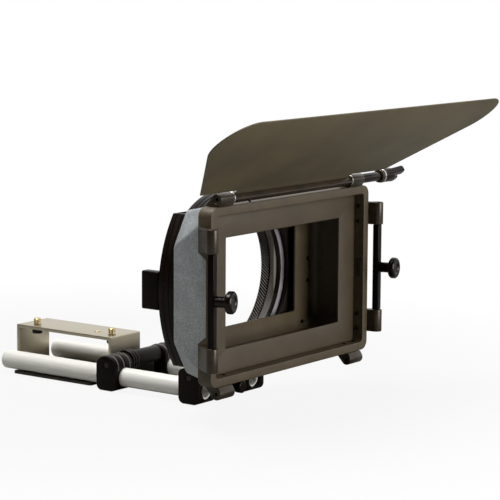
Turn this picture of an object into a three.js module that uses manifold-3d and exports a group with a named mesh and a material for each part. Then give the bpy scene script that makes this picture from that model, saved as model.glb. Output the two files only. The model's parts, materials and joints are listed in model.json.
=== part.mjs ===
// A film camera's matte box on a pair of support rods, in millimetres, +Z up.
// The origin is the centre of the base plate's underside. The lens looks along -Y and +X is
// the right-hand side seen from in front. Depths in the hood group are counted from the lip.
import * as THREE from 'three';
import { mergeVertices } from 'three/addons/utils/BufferGeometryUtils.js';
import Module from 'manifold-3d';

const wasm = await Module();
wasm.setup();

// Shared clearances, the cutters' overrun and the counts of sides
const gap = 0.3;
const overrun = 1;
const sides = { large: 48, middle: 24, small: 16, screw: 8, socket: 6, corner: 2, barrel: 6, flagCorner: 4 };

// Support rods and the lens axis above them
const rod = { diameter: 15, bore: 11, spacing: 60, length: 205.5, setBack: 2.1, endChamfer: 0.8 };
const lensHeight = 85;
const lipToBase = 212.5;

// Base plate under the rods
const base = { width: 70, length: 83, thickness: 2.4, neckWidth: 36, cornerRadius: 3 };
const rodHeight = base.thickness + gap + rod.diameter / 2;
const axisHeight = rodHeight + lensHeight;

// How far each piece stays inside the one that carries it
const margin = {
  shellSide: 0.7, shellTop: 0.25, frontFold: 13, rearFold: 15, rearDrop: 5, rearFoldDrop: 30,
  maskSide: 22.2, maskTop: 17.6, tubSide: 3.7, tubTop: 6.75, windowSide: 32.5, windowTop: 18.25,
  drumSide: 1, drumTop: 3.5, carrierSide: 19, carrierTop: 6.5, railTop: 6, stopSide: 25,
  trayTop: 0.5, trayWindowSide: 12.5, trayWindowTop: 4, knuckleSide: 17.6, knuckleTop: 22.5, flagTab: 1.95,
};

// Front frame with its lip and the ledge that carries the mask
const frame = {
  halfWidth: 101.7, halfHeight: 65.25, depth: 12, face: 6.5, cornerRadius: 7, innerRadius: 3,
  ledge: 4.5, ledgeDepth: 1.7,
};
const inner = { halfWidth: frame.halfWidth - frame.face, halfHeight: frame.halfHeight - frame.face };

// Mask plate in the front frame, and the catches at its two ends
const mask = {
  thickness: 1.5, notchWidth: 8, notchDepth: 0.9, notchInset: 12,
  openingHalfWidth: inner.halfWidth - margin.maskSide,
  openingHalfHeight: inner.halfHeight - margin.maskTop,
};
const catches = { depth: 4.5, width: 4.7, height: 14, thickness: 1.7, proud: 0.2, travel: 1.2 };

// Octagonal hood shell behind the frame, with a tongue on each side that runs into the frame
const shellWidth = frame.halfWidth - margin.shellSide;
const shellHeight = frame.halfHeight - margin.shellTop;
const shell = {
  halfWidth: shellWidth, wall: 2, rear: 35, rearWall: 2, frontHalfHeight: shellHeight,
  frontFoldWidth: shellWidth - margin.frontFold, frontFoldHeight: shellHeight - margin.frontFold,
  rearHalfHeight: shellHeight - margin.rearDrop, rearFoldWidth: shellWidth - margin.rearFold,
  rearFoldHeight: shellHeight - margin.rearFoldDrop,
  tongueFront: 5, tongueBaseHalf: 33.2, tongueTipHalf: 28, tongueThickness: 1.2,
};
const sideRecess = margin.shellSide + shell.tongueThickness + gap;

// Inner tub that lines the hood: a mouth, a neck in the shell's rear wall, a bend and a 16:9 window
const tub = {
  wall: 1.5, flange: 4, flangeThickness: 1.6, cornerRadius: 16, cornerSteps: 6, bendSteps: 3,
  halfWidth: inner.halfWidth - margin.tubSide, halfHeight: inner.halfHeight - margin.tubTop,
  neckAhead: 5, neckIn: 5.5, neckDown: 1.5, bendAhead: 1, bendIn: 7.3, bendDown: 1.8,
  bendAcross: 6.8, bendUp: 2.2, plateBehind: 5,
};
const tubPlate = shell.rear + tub.plateBehind;

// Round filter stage behind the hood, flat at the top and bottom
const drum = {
  radius: shellWidth - margin.drumSide, flatHalfHeight: shell.rearHalfHeight - margin.drumTop,
  wall: 2.5, depth: 14.7, rearWall: 1.7, bore: 62,
};
const drumFront = shell.rear + gap;
const drumRear = drumFront + drum.depth;
const carrier = {
  halfWidth: drum.radius - margin.carrierSide, halfHeight: drum.flatHalfHeight - margin.carrierTop,
  plate: 1.2, rail: 2.7, hubWall: 1.9, arch: 1.8, stopHeight: 2,
};
const tray = {
  top: drum.flatHalfHeight - margin.trayTop, cornerRadius: 3,
  windowHalfWidth: carrier.halfWidth - margin.trayWindowSide,
  windowHalfHeight: carrier.halfHeight - margin.trayWindowTop,
};

// Collar behind the drum, with an aperture plate and its retaining ring inside
const collar = {
  radius: 65, bore: 57.4, stepBore: 58.6, stepLength: 14, length: 22, seatRadius: 61, lugReach: 78,
  lugHalfHeight: 14, lugThickness: 3, chamfer: 0.8,
  grooveAt: 11.6, groovePitch: 4, grooveCount: 2, grooveWidth: 0.9, grooveDepth: 0.8,
};
const collarRear = drumRear + collar.length;
const aperture = { behind: 5, thickness: 3, radius: 56.4, halfWidth: 51 };
const apertureFront = drumRear + aperture.behind;
const retainer = { thickness: 3.3, radius: 54.4, chamfer: 1.2 };

// Block at the drum's side that guards the stage's lock screw
const lock = {
  rimShare: 0.3636, length: 15.1, low: -13.3, high: 15, radiusShare: 0.1875,
  screwAhead: 5.4, screwHeight: 6, screwRadius: 2,
};

// Hinge knuckles round the front frame, with the depths of their axes and of their feet's rear ends
const knuckle = {
  length: 17.5, radius: 4.4, bore: 2.8, offset: 5.3,
  topAxis: 2.3, topHeel: 12.6, sideAxis: -5, sideHeel: 10.7,
  topCentre: frame.halfWidth - margin.knuckleSide, sideCentre: frame.halfHeight - margin.knuckleTop,
};
const journal = { radius: 2.5, reach: 13 };
const screw = { radius: 1.25, headRadius: 2.2, headHeight: 1.5, socketRadius: 1.1, socketDepth: 0.8 };

// Side bars with their thumbscrews
const sideBar = { width: 7, thickness: 5, leftDegrees: 17, rightDegrees: 12 };
const thumb = {
  shankRadius: 2, shankDepth: 4, bodyRadius: 4, bodyLength: 8.7, headRadius: 8.25, headLength: 5.5,
  chamfer: 1.2, dishRadius: 4.5, dishDepth: 1,
};

// Top flag, its bar and the wing knob on the bar's end
const flagBar = {
  halfLength: knuckle.topCentre - knuckle.length / 2 - gap, below: 3.4, ahead: 3.3, behind: 2.6,
};
const flag = {
  tiltDegrees: 36, sheet: 1, lift: 1.29, lower: 7.69, tabLower: -2.6, bottomHalfWidth: 118.5,
  tabHalfWidth: flagBar.halfLength - margin.flagTab,
  cornerAcross: 152, cornerUp: 80.99, cornerRadius: 24.2,
};
const sleeve = { radius: 3.7, length: 25 };
const washer = { radius: 5.6, thickness: 4.6 };
const wing = {
  hubRadius: 5.4, hubLength: 13, spread: 8.5, tipReach: 25, tipRadius: 4.2, thickness: 4.6,
  leanDegrees: 50, socketDepth: 10,
};

// Clamps, bridge and knob that carry the hood on the rods
const clamp = {
  outerSide: 12, innerSide: 9.5, above: 9.6, length: 19.8, cornerRadius: 5, middleRadius: 8.5, slit: 1.5,
  screwAbove: 2.4, screwRadius: 1.6, headRadius: 2.7, headDepth: 2, collarOverlap: 14.6, middleAt: 139.4,
};
const clampOuter = rod.spacing / 2 + clamp.outerSide;
const clampInner = rod.spacing / 2 - clamp.innerSide;
const clampTop = rod.diameter / 2 + clamp.above;
const clampScrewHeight = rod.diameter / 2 + clamp.screwAbove;
const frontClampAt = collarRear - clamp.collarOverlap;
const rodFront = frontClampAt + rod.setBack;
const bridge = { setBack: 2.6, length: 15, low: -8, high: 17, saddleHalfWidth: 18, saddleTop: 30, radius: 2 };
const bridgeFront = frontClampAt + bridge.setBack;
const bridgeRear = bridgeFront + bridge.length;
const knob = {
  across: 8, height: -2.8, radius: 5, length: 7.4, shankRadius: 2, shankDepth: 6, chamfer: 0.8, skirt: 3.4,
};

// Cross tube between the two middle clamps and the web under it
const cross = {
  radius: 7.5, height: 9.6, ringRadius: 9.2, sleeveRadius: 8.3, ringWidth: 1.8, ringPitch: 2.9, ringCount: 3,
  ringStart: 18.6,
};
const web = { halfWidth: 9.5, length: 14, radius: 1 };

// Riser box on the base plate, with the camera's screws
const riser = {
  halfWidth: 18.3, front: 164, length: 101, top: 27.1, wall: 2.8, cornerRadius: 1, innerRadius: 0.8,
};
const cameraScrew = {
  radius: 3, height: 5.5, headRadius: 4.2, headHeight: 4, chamfer: 0.6,
  front: { across: -7.6, depth: 171.9 }, rear: { across: -10.4, depth: 249.4 },
};
const insert = { across: -4.3, depth: 189.5, radius: 2.5, length: 2, proud: 0.4 };
const riserScrew = { across: 10, inset: 16 };

// Finishes
const finish = {
  blackPlastic: { color: 0x4e473b, roughness: 0.62, metalness: 0.0 },
  blackMetal: { color: 0x1d1813, roughness: 0.42, metalness: 0.35 },
  greyMetal: { color: 0x4a4238, roughness: 0.36, metalness: 0.5 },
  hammertone: { color: 0x8f959a, roughness: 0.4, metalness: 0.45 },
  flagMetal: { color: 0x5a5142, roughness: 0.7, metalness: 0.1 },
  aluminium: { color: 0xd6d3c8, roughness: 0.3, metalness: 0.9 },
  nickel: { color: 0xb9b5a6, roughness: 0.34, metalness: 0.85 },
  brass: { color: 0xb08d57, roughness: 0.32, metalness: 0.9 },
  steel: { color: 0xa8a6a0, roughness: 0.3, metalness: 0.95 },
};

const materials = {};
for (const [name, values] of Object.entries(finish)) {
  materials[name] = new THREE.MeshStandardMaterial({ name, ...values });
}

// A closed geometry as a solid, with zero-area triangles left out
function toSolid(geometry) {
  geometry.deleteAttribute('normal');
  geometry.deleteAttribute('uv');
  const merged = mergeVertices(geometry);
  const kept = [];
  const corners = merged.index.array;
  for (let i = 0; i < corners.length; i += 3) {
    const [a, b, c] = corners.slice(i, i + 3);
    if (a !== b && b !== c && c !== a) kept.push(a, b, c);
  }
  const vertProperties = new Float32Array(merged.attributes.position.array);
  return new wasm.Manifold(new wasm.Mesh({ numProp: 3, vertProperties, triVerts: new Uint32Array(kept) }));
}

// A solid as a named mesh
function part(name, material, solid) {
  const { vertProperties, triVerts } = solid.getMesh();
  const geometry = new THREE.BufferGeometry();
  geometry.setAttribute('position', new THREE.BufferAttribute(new Float32Array(vertProperties), 3));
  geometry.setIndex(new THREE.BufferAttribute(new Uint32Array(triVerts), 1));
  geometry.computeVertexNormals();
  const mesh = new THREE.Mesh(geometry, materials[material]);
  mesh.name = name;
  return mesh;
}

function union(solids) {
  return solids.reduce((whole, next) => whole.add(next));
}

function cutAll(solid, cutters) {
  return cutters.reduce((rest, cutter) => rest.subtract(cutter), solid);
}

// A block between two corners
function block(x0, x1, y0, y1, z0, z1) {
  const geometry = new THREE.BoxGeometry(x1 - x0, y1 - y0, z1 - z0);
  geometry.translate((x0 + x1) / 2, (y0 + y1) / 2, (z0 + z1) / 2);
  return toSolid(geometry);
}

// A round pin along one axis, from one end to the other, through the point where the others cross
function pin(axis, radius, from, to, point, count = sides.screw) {
  const geometry = new THREE.CylinderGeometry(radius, radius, to - from, count);
  geometry.translate(0, (from + to) / 2, 0);
  if (axis === 'x') geometry.rotateZ(-Math.PI / 2);
  if (axis === 'z') geometry.rotateX(Math.PI / 2);
  geometry.translate(point[0], point[1], point[2]);
  return toSolid(geometry);
}

function moved(solid, matrix) {
  return solid.transform(matrix.elements);
}

// A closed outline of [radius, depth] turned about Y
function turned(outline, count) {
  const points = outline.map(([radius, depth]) => new THREE.Vector2(radius, depth));
  points.push(points[0].clone());
  return toSolid(new THREE.LatheGeometry(points, count));
}

function extruded(shape, depth, curveSegments) {
  return new THREE.ExtrudeGeometry(shape, { depth, curveSegments, bevelEnabled: false });
}

// A plate with an outline in X and Z, between two depths
function plate(shape, front, rear, count = sides.corner) {
  const geometry = extruded(shape, rear - front, count);
  geometry.rotateX(Math.PI / 2);
  geometry.translate(0, rear, 0);
  return toSolid(geometry);
}

// A bar with an outline in Y and Z, between two places on X
function bar(shape, left, right, count = sides.corner) {
  const geometry = extruded(shape, right - left, count);
  const turn = new THREE.Matrix4().makeBasis(
    new THREE.Vector3(0, 1, 0),
    new THREE.Vector3(0, 0, 1),
    new THREE.Vector3(1, 0, 0),
  );
  geometry.applyMatrix4(turn);
  geometry.translate(left, 0, 0);
  return toSolid(geometry);
}

// A layer with an outline in X and Y, between two heights
function layer(shape, low, high, count = sides.corner) {
  const geometry = extruded(shape, high - low, count);
  geometry.translate(0, 0, low);
  return toSolid(geometry);
}

function roundedRect(x0, x1, y0, y1, radius, topRadius = radius) {
  const shape = new THREE.Shape();
  shape.absarc(x1 - radius, y0 + radius, radius, -Math.PI / 2, 0);
  shape.absarc(x1 - topRadius, y1 - topRadius, topRadius, 0, Math.PI / 2);
  shape.absarc(x0 + topRadius, y1 - topRadius, topRadius, Math.PI / 2, Math.PI);
  shape.absarc(x0 + radius, y0 + radius, radius, Math.PI, Math.PI * 1.5);
  shape.closePath();
  return shape;
}

function centredRect(halfWidth, halfHeight, radius) {
  return roundedRect(-halfWidth, halfWidth, -halfHeight, halfHeight, radius);
}

// A skin through outlines of equal point counts, each at its own depth
function loft(stations) {
  const count = stations[0].points.length;
  const positions = [];
  const faces = [];
  for (const { depth, points } of stations) {
    for (const [x, z] of points) positions.push(x, depth, z);
  }
  for (let s = 0; s < stations.length - 1; s += 1) {
    for (let i = 0; i < count; i += 1) {
      const a = s * count + i;
      const b = s * count + (i + 1) % count;
      faces.push(a, a + count, b + count);
      faces.push(a, b + count, b);
    }
  }
  const last = (stations.length - 1) * count;
  for (let i = 1; i < count - 1; i += 1) {
    faces.push(0, i, i + 1);
    faces.push(last, last + i + 1, last + i);
  }
  const geometry = new THREE.BufferGeometry();
  geometry.setAttribute('position', new THREE.Float32BufferAttribute(positions, 3));
  geometry.setIndex(faces);
  return toSolid(geometry);
}

function roundedPoints(halfWidth, halfHeight, radius, steps) {
  const points = [];
  for (let corner = 0; corner < 4; corner += 1) {
    const right = corner < 2 ? 1 : -1;
    const up = corner === 1 || corner === 2 ? 1 : -1;
    for (let i = 0; i <= steps; i += 1) {
      const angle = (corner - 1 + i / steps) * Math.PI / 2;
      points.push([
        right * (halfWidth - radius) + radius * Math.cos(angle),
        up * (halfHeight - radius) + radius * Math.sin(angle),
      ]);
    }
  }
  return points;
}

// A cap screw along -Z with the underside of its head at zero
function capScrew(length, size = screw) {
  const top = size.headHeight;
  const head = pin('z', size.headRadius, 0, top, [0, 0, 0]);
  const shank = pin('z', size.radius, -length, top / 2, [0, 0, 0]);
  const socket = pin('z', size.socketRadius, top - size.socketDepth, top + overrun, [0, 0, 0], sides.socket);
  return head.add(shank).subtract(socket);
}

// Front frame: an outer wall, a recess for the mask and a ledge behind it
const ledgeFront = frame.depth - frame.ledgeDepth;
const axisAcross = frame.halfWidth + knuckle.offset;
const axisUp = frame.halfHeight + knuckle.offset;

// Where each knuckle sits: its turn about the lens axis, the centre of its barrel and its depths
const topKind = { axis: knuckle.topAxis, heel: knuckle.topHeel };
const sideKind = { axis: knuckle.sideAxis, heel: knuckle.sideHeel };
const knuckles = [
  { name: 'top_knuckle_left', turn: 0, at: [-knuckle.topCentre, axisUp], ...topKind },
  { name: 'top_knuckle_right', turn: 0, at: [knuckle.topCentre, axisUp], ...topKind },
  { name: 'bottom_knuckle_left', turn: Math.PI, at: [-knuckle.topCentre, -axisUp], ...topKind },
  { name: 'bottom_knuckle_right', turn: Math.PI, at: [knuckle.topCentre, -axisUp], ...topKind },
  { name: 'left_knuckle_upper', turn: -Math.PI / 2, at: [-axisAcross, knuckle.sideCentre], ...sideKind },
  { name: 'left_knuckle_lower', turn: -Math.PI / 2, at: [-axisAcross, -knuckle.sideCentre], ...sideKind },
  { name: 'right_knuckle_upper', turn: Math.PI / 2, at: [axisAcross, knuckle.sideCentre], ...sideKind },
  { name: 'right_knuckle_lower', turn: Math.PI / 2, at: [axisAcross, -knuckle.sideCentre], ...sideKind },
];

function frontFrame() {
  const outer = plate(centredRect(frame.halfWidth, frame.halfHeight, frame.cornerRadius), 0, frame.depth);
  const recessOutline = centredRect(inner.halfWidth, inner.halfHeight, frame.innerRadius);
  const recess = plate(recessOutline, -overrun, ledgeFront);
  const window = plate(
    centredRect(inner.halfWidth - frame.ledge, inner.halfHeight - frame.ledge, frame.innerRadius),
    -overrun,
    frame.depth + overrun,
  );
  const cutters = [recess, window];
  for (const side of [-1, 1]) {
    const face = side * (frame.halfWidth - sideRecess);
    const beyond = side * (frame.halfWidth + overrun);
    const [left, right] = [Math.min(face, beyond), Math.max(face, beyond)];
    cutters.push(bar(tongueOutline(gap, shell.tongueFront - gap, frame.depth + overrun), left, right));
    cutters.push(catchPocket(side));
  }
  return part('front_frame', 'blackPlastic', cutAll(outer, cutters));
}

// Outline in Y and Z of the shell's side tongue, grown by a clearance
function tongueOutline(grow, tip, root) {
  const slope = (shell.tongueBaseHalf - shell.tongueTipHalf) / (frame.depth - shell.tongueFront);
  const rootHalf = shell.tongueBaseHalf + grow + slope * (root - frame.depth);
  const shape = new THREE.Shape();
  shape.moveTo(tip, -shell.tongueTipHalf - grow);
  shape.lineTo(root, -rootHalf);
  shape.lineTo(root, rootHalf);
  shape.lineTo(tip, shell.tongueTipHalf + grow);
  shape.closePath();
  return shape;
}

function catchPocket(side) {
  const near = inner.halfWidth - overrun;
  const far = inner.halfWidth - catches.proud + catches.thickness + catches.travel + gap;
  const shape = roundedRect(
    catches.depth - catches.width / 2 - gap,
    catches.depth + catches.width / 2 + gap,
    -catches.height / 2 - gap,
    catches.height / 2 + gap,
    catches.width / 2,
  );
  return side > 0 ? bar(shape, near, far) : bar(shape, -far, -near);
}

function maskCatch(name, side) {
  const near = inner.halfWidth - catches.proud;
  const far = near + catches.thickness;
  const shape = roundedRect(
    catches.depth - catches.width / 2,
    catches.depth + catches.width / 2,
    -catches.height / 2,
    catches.height / 2,
    catches.width / 2 - gap,
  );
  return part(name, 'greyMetal', side > 0 ? bar(shape, near, far) : bar(shape, -far, -near));
}

// Mask plate with its 16:9 opening and two finger notches in the top edge
function maskPlate() {
  const halfWidth = inner.halfWidth - 2 * gap;
  const halfHeight = inner.halfHeight - gap;
  const rear = ledgeFront - gap;
  const outer = plate(centredRect(halfWidth, halfHeight, frame.innerRadius), rear - mask.thickness, rear);
  const opening = centredRect(mask.openingHalfWidth, mask.openingHalfHeight, gap);
  const cutters = [plate(opening, 0, frame.depth)];
  for (const side of [-1, 1]) {
    const centre = side * (halfWidth - mask.notchInset);
    cutters.push(block(
      centre - mask.notchWidth / 2,
      centre + mask.notchWidth / 2,
      0,
      frame.depth,
      halfHeight - mask.notchDepth,
      halfHeight + overrun,
    ));
  }
  return part('mask_plate', 'blackPlastic', cutAll(outer, cutters));
}

function octagon(halfWidth, halfHeight, foldWidth, foldHeight, inset) {
  const [w, h] = [halfWidth - inset, halfHeight - inset];
  const [fw, fh] = [foldWidth - inset / 2, foldHeight - inset / 2];
  return [[fw, -h], [w, -fh], [w, fh], [fw, h], [-fw, h], [-w, fh], [-w, -fh], [-fw, -h]];
}

function shellSkin(front, rear, inset) {
  const { halfWidth, frontHalfHeight, frontFoldWidth, frontFoldHeight } = shell;
  const start = octagon(halfWidth, frontHalfHeight, frontFoldWidth, frontFoldHeight, inset);
  const end = octagon(halfWidth, shell.rearHalfHeight, shell.rearFoldWidth, shell.rearFoldHeight, inset);
  return loft([{ depth: front, points: start }, { depth: rear, points: end }]);
}

function hoodShell() {
  const front = frame.depth + gap;
  const stations = tubOuter();
  const outer = shellSkin(front, shell.rear, 0);
  const hollow = shellSkin(front - overrun, shell.rear - shell.rearWall, shell.wall);
  const widest = stations[1];
  const throat = plate(
    centredRect(widest.halfWidth + gap, widest.halfHeight + gap, tub.cornerRadius),
    shell.rear - shell.rearWall - overrun,
    shell.rear + overrun,
  );
  let skin = cutAll(outer, [hollow, throat]);
  for (const side of [-1, 1]) {
    const faces = [side * shell.halfWidth, side * (shell.halfWidth - shell.tongueThickness)];
    const outline = tongueOutline(0, shell.tongueFront, front + shell.wall);
    skin = skin.add(bar(outline, Math.min(...faces), Math.max(...faces)));
  }
  return part('hood_shell', 'hammertone', skin);
}

const tubFront = frame.depth + gap;
const tubRear = tubPlate + tub.wall;
const tubStations = [
  { depth: tubFront, halfWidth: tub.halfWidth, halfHeight: tub.halfHeight },
  {
    depth: shell.rear - tub.neckAhead,
    halfWidth: tub.halfWidth - tub.neckIn,
    halfHeight: tub.halfHeight - tub.neckDown,
  },
  ...tubBend(),
];

// The quarter bend from the tub's wall into its rear plate
function tubBend() {
  const start = shell.rear - tub.bendAhead;
  const stations = [];
  for (let i = 0; i <= tub.bendSteps; i += 1) {
    const angle = i / tub.bendSteps * Math.PI / 2;
    stations.push({
      depth: start + (tubPlate - start) * Math.sin(angle),
      halfWidth: tub.halfWidth - tub.bendIn - tub.bendAcross * (1 - Math.cos(angle)),
      halfHeight: tub.halfHeight - tub.bendDown - tub.bendUp * (1 - Math.cos(angle)),
    });
  }
  return stations;
}

// The tub's outer stations, one wall outside the inner ones
function tubOuter() {
  return tubStations.map(({ depth, halfWidth, halfHeight }, i) => ({
    depth: depth + tub.wall * i / (tubStations.length - 1),
    halfWidth: halfWidth + tub.wall,
    halfHeight: halfHeight + tub.wall,
  }));
}

function tubSkin(stations, radius) {
  return loft(stations.map(({ depth, halfWidth, halfHeight }) => ({
    depth,
    points: roundedPoints(halfWidth, halfHeight, radius, tub.cornerSteps),
  })));
}

function innerTub() {
  const [mouth] = tubStations;
  const outline = centredRect(mouth.halfWidth + tub.flange, mouth.halfHeight + tub.flange, tub.cornerRadius);
  const flange = plate(outline, tubFront, tubFront + tub.flangeThickness);
  const neck = { ...mouth, depth: tubFront - overrun };
  const body = tubSkin(tubOuter(), tub.cornerRadius);
  const hollow = tubSkin([neck, ...tubStations], tub.cornerRadius);
  const opening = centredRect(tub.halfWidth - margin.windowSide, tub.halfHeight - margin.windowTop, gap);
  const window = plate(opening, 0, tubRear + overrun);
  return part('inner_tub', 'blackPlastic', cutAll(flange.add(body), [hollow, window]));
}

// Filter stage
const stageFront = tubRear + gap;
const stageRear = drumRear - drum.rearWall;
const carrierRear = stageRear - gap;
const lockScrewAt = [0, drumRear - lock.screwAhead, lock.screwHeight];

function disc(radius, flatHalfHeight, front, rear) {
  const round = pin('y', radius, front, rear, [0, 0, 0], sides.large);
  return round.intersect(block(-radius, radius, front, rear, -flatHalfHeight, flatHalfHeight));
}

function collarScrewPlaces() {
  const across = (collar.radius + collar.lugReach) / 2;
  const up = collar.lugHalfHeight / 2;
  return [[-across, up], [-across, -up], [across, up], [across, -up]];
}

function drumHousing() {
  const within = drum.radius - drum.wall;
  const outer = disc(drum.radius, drum.flatHalfHeight, drumFront, drumRear);
  const hollow = disc(within, drum.flatHalfHeight - drum.wall, drumFront - overrun, stageRear);
  const slot = block(
    -drum.radius,
    drum.radius,
    stageFront - gap,
    stageRear,
    -drum.flatHalfHeight - overrun,
    drum.flatHalfHeight + overrun,
  );
  const slotSides = pin('y', within, stageFront - overrun, stageRear + overrun, [0, 0, 0], sides.large);
  const bore = pin('y', drum.bore, stageRear - overrun, drumRear + overrun, [0, 0, 0], sides.large);
  const cutters = [hollow, slot.intersect(slotSides), bore];
  for (const [x, z] of collarScrewPlaces()) {
    cutters.push(pin('y', screw.radius + gap, drumFront, drumRear + overrun, [x, 0, z]));
  }
  cutters.push(pin('x', lock.screwRadius + gap, -drum.radius - overrun, -within + drum.wall, lockScrewAt));
  return part('drum_housing', 'blackMetal', cutAll(outer, cutters));
}

// Rotating carrier: a plate with side rails and a bottom stop, on a hub that turns in the drum
function trayCarrier() {
  const hub = drum.bore - gap;
  const opening = hub - carrier.hubWall;
  const plateFront = carrierRear - carrier.plate;
  const { halfWidth, halfHeight } = carrier;
  const sheet = block(-halfWidth, halfWidth, plateFront, carrierRear, -halfHeight, halfHeight);
  const arch = pin('y', hub + carrier.arch, plateFront, carrierRear, [0, 0, 0], sides.large);
  const ring = pin('y', hub, plateFront, drumRear - gap, [0, 0, 0], sides.large);
  const solids = [sheet, arch, ring];
  for (const side of [-1, 1]) {
    const edges = [side * halfWidth, side * (halfWidth - carrier.rail)];
    solids.push(block(Math.min(...edges), Math.max(...edges), stageFront, carrierRear,
      -halfHeight + margin.railTop, halfHeight - margin.railTop));
  }
  const stopTop = -halfHeight + carrier.stopHeight;
  const stopEnd = halfWidth - margin.stopSide;
  const stop = block(-stopEnd, stopEnd, stageFront, carrierRear, -halfHeight, stopTop);
  const window = pin('y', opening, 0, drumRear + overrun, [0, 0, 0], sides.large);
  return part('tray_carrier', 'blackMetal', union([...solids, stop]).subtract(window));
}

function filterTray() {
  const halfWidth = carrier.halfWidth - carrier.rail - gap;
  const front = stageFront + gap;
  const rear = carrierRear - carrier.plate - gap;
  const low = -carrier.halfHeight + carrier.stopHeight + gap;
  const outer = plate(roundedRect(-halfWidth, halfWidth, low, tray.top, tray.cornerRadius), front, rear);
  const opening = centredRect(tray.windowHalfWidth, tray.windowHalfHeight, tray.cornerRadius);
  const window = plate(opening, 0, drumRear);
  return part('filter_tray', 'greyMetal', outer.subtract(window));
}

// Collar, its seat, the aperture plate and the retaining ring
const collarFront = drumRear + gap;
const seatRear = apertureFront + aperture.thickness + gap;

function lensCollar() {
  const outline = [[collar.seatRadius, collarFront], [collar.radius, collarFront]];
  for (let i = 0; i < collar.grooveCount; i += 1) {
    const groove = drumRear + collar.grooveAt + i * collar.groovePitch;
    outline.push([collar.radius, groove]);
    outline.push([collar.radius - collar.grooveDepth, groove]);
    outline.push([collar.radius - collar.grooveDepth, groove + collar.grooveWidth]);
    outline.push([collar.radius, groove + collar.grooveWidth]);
  }
  const stepRear = drumRear + collar.stepLength;
  outline.push([collar.radius, collarRear - collar.chamfer]);
  outline.push([collar.radius - collar.chamfer, collarRear]);
  outline.push([collar.bore, collarRear]);
  outline.push([collar.bore, stepRear]);
  outline.push([collar.stepBore, stepRear]);
  outline.push([collar.stepBore, seatRear]);
  outline.push([collar.seatRadius, seatRear]);
  const body = turned(outline, sides.large);
  const lugRear = collarFront + collar.lugThickness;
  const lugOutline = centredRect(collar.lugReach, collar.lugHalfHeight, collar.lugThickness);
  const lug = plate(lugOutline, collarFront, lugRear);
  const middle = pin('y', collar.radius - gap, 0, collarRear, [0, 0, 0], sides.large);
  const holes = collarScrewPlaces().map(([x, z]) => pin('y', screw.radius + gap, 0, collarRear, [x, 0, z]));
  return part('lens_collar', 'blackMetal', cutAll(body.add(lug.subtract(middle)), holes));
}

// Cap screws through the collar's lugs into the drum's rear wall
function collarScrews() {
  const headFront = collarFront + collar.lugThickness + gap;
  const length = headFront - stageRear - gap;
  const backwards = new THREE.Matrix4().makeRotationX(-Math.PI / 2);
  return collarScrewPlaces().map(([x, z], i) => {
    const mesh = part(`collar_screw_${i + 1}`, 'steel', moved(capScrew(length), backwards));
    mesh.position.set(x, headFront, z);
    return mesh;
  });
}

// Plate with a round opening that is cut off by two upright flats
function aperturePlate() {
  const rear = apertureFront + aperture.thickness;
  const round = pin('y', collar.seatRadius - gap, apertureFront, rear, [0, 0, 0], sides.large);
  const opening = pin('y', aperture.radius, 0, rear + overrun, [0, 0, 0], sides.large);
  const { halfWidth, radius } = aperture;
  const flats = block(-halfWidth, halfWidth, 0, rear + overrun, -radius, radius);
  return part('aperture_plate', 'greyMetal', round.subtract(opening.intersect(flats)));
}

function retainingRing() {
  const outer = collar.seatRadius - gap;
  const rear = apertureFront - gap;
  const front = rear - retainer.thickness;
  const outline = [
    [retainer.radius, rear],
    [retainer.radius, front + retainer.chamfer],
    [retainer.radius + retainer.chamfer, front],
    [outer, front],
    [outer, rear],
  ];
  return part('retaining_ring', 'nickel', turned(outline, sides.large));
}

function lockBlock() {
  const thickness = (drum.radius - collar.lugReach) * lock.rimShare;
  const corner = thickness * lock.radiusShare;
  const shape = roundedRect(-drum.radius, -drum.radius + thickness, lock.low, lock.high, corner);
  return part('lock_block', 'blackMetal', plate(shape, collarFront, collarFront + lock.length));
}

function lockScrew() {
  const tip = -drum.radius + drum.wall;
  const top = -drum.radius + gap;
  const body = pin('x', lock.screwRadius, top, tip, lockScrewAt);
  const socketEnd = top + screw.socketDepth;
  const socket = pin('x', screw.socketRadius, top - overrun, socketEnd, lockScrewAt, sides.socket);
  return part('lock_screw', 'steel', body.subtract(socket));
}

// Knuckle in its own frame: the barrel lies along X and runs down to a foot on the frame
function knuckleBody({ axis, heel }) {
  const under = -knuckle.offset + gap;
  const [front, rear] = [gap - axis, heel - axis];
  const rise = (depth) => Math.acos(knuckle.radius / Math.hypot(depth, under));
  const first = Math.atan2(under, rear) + rise(rear);
  const last = Math.atan2(under, front) - rise(front) + (front < 0 ? Math.PI * 2 : 0);
  const shape = new THREE.Shape();
  shape.moveTo(front, under);
  shape.lineTo(rear, under);
  shape.absarc(0, 0, knuckle.radius, first, last, false);
  shape.closePath();
  const half = knuckle.length / 2;
  const body = bar(shape, -half, half, sides.barrel);
  const bore = pin('x', knuckle.bore, -half - overrun, half + overrun, [0, 0, 0], sides.small);
  return body.subtract(bore);
}

function knuckleParts() {
  return knuckles.map((place) => {
    const mesh = part(place.name, 'greyMetal', knuckleBody(place));
    mesh.rotation.y = place.turn;
    mesh.position.set(place.at[0], place.axis, place.at[1]);
    return mesh;
  });
}

// Side bar standing between two knuckles, with a journal at each end
function sideBarPart(name) {
  const half = knuckle.sideCentre - knuckle.length / 2 - gap;
  const [across, along] = [sideBar.width / 2, sideBar.thickness / 2];
  const body = block(-across, across, -along, along, -half, half);
  const pins = pin('z', journal.radius, -half - journal.reach, half + journal.reach, [0, 0, 0], sides.small);
  const hole = pin('y', thumb.shankRadius + gap, -sideBar.thickness, sideBar.thickness, [0, 0, 0]);
  return part(name, 'blackMetal', cutAll(body.add(pins), [hole]));
}

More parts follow.
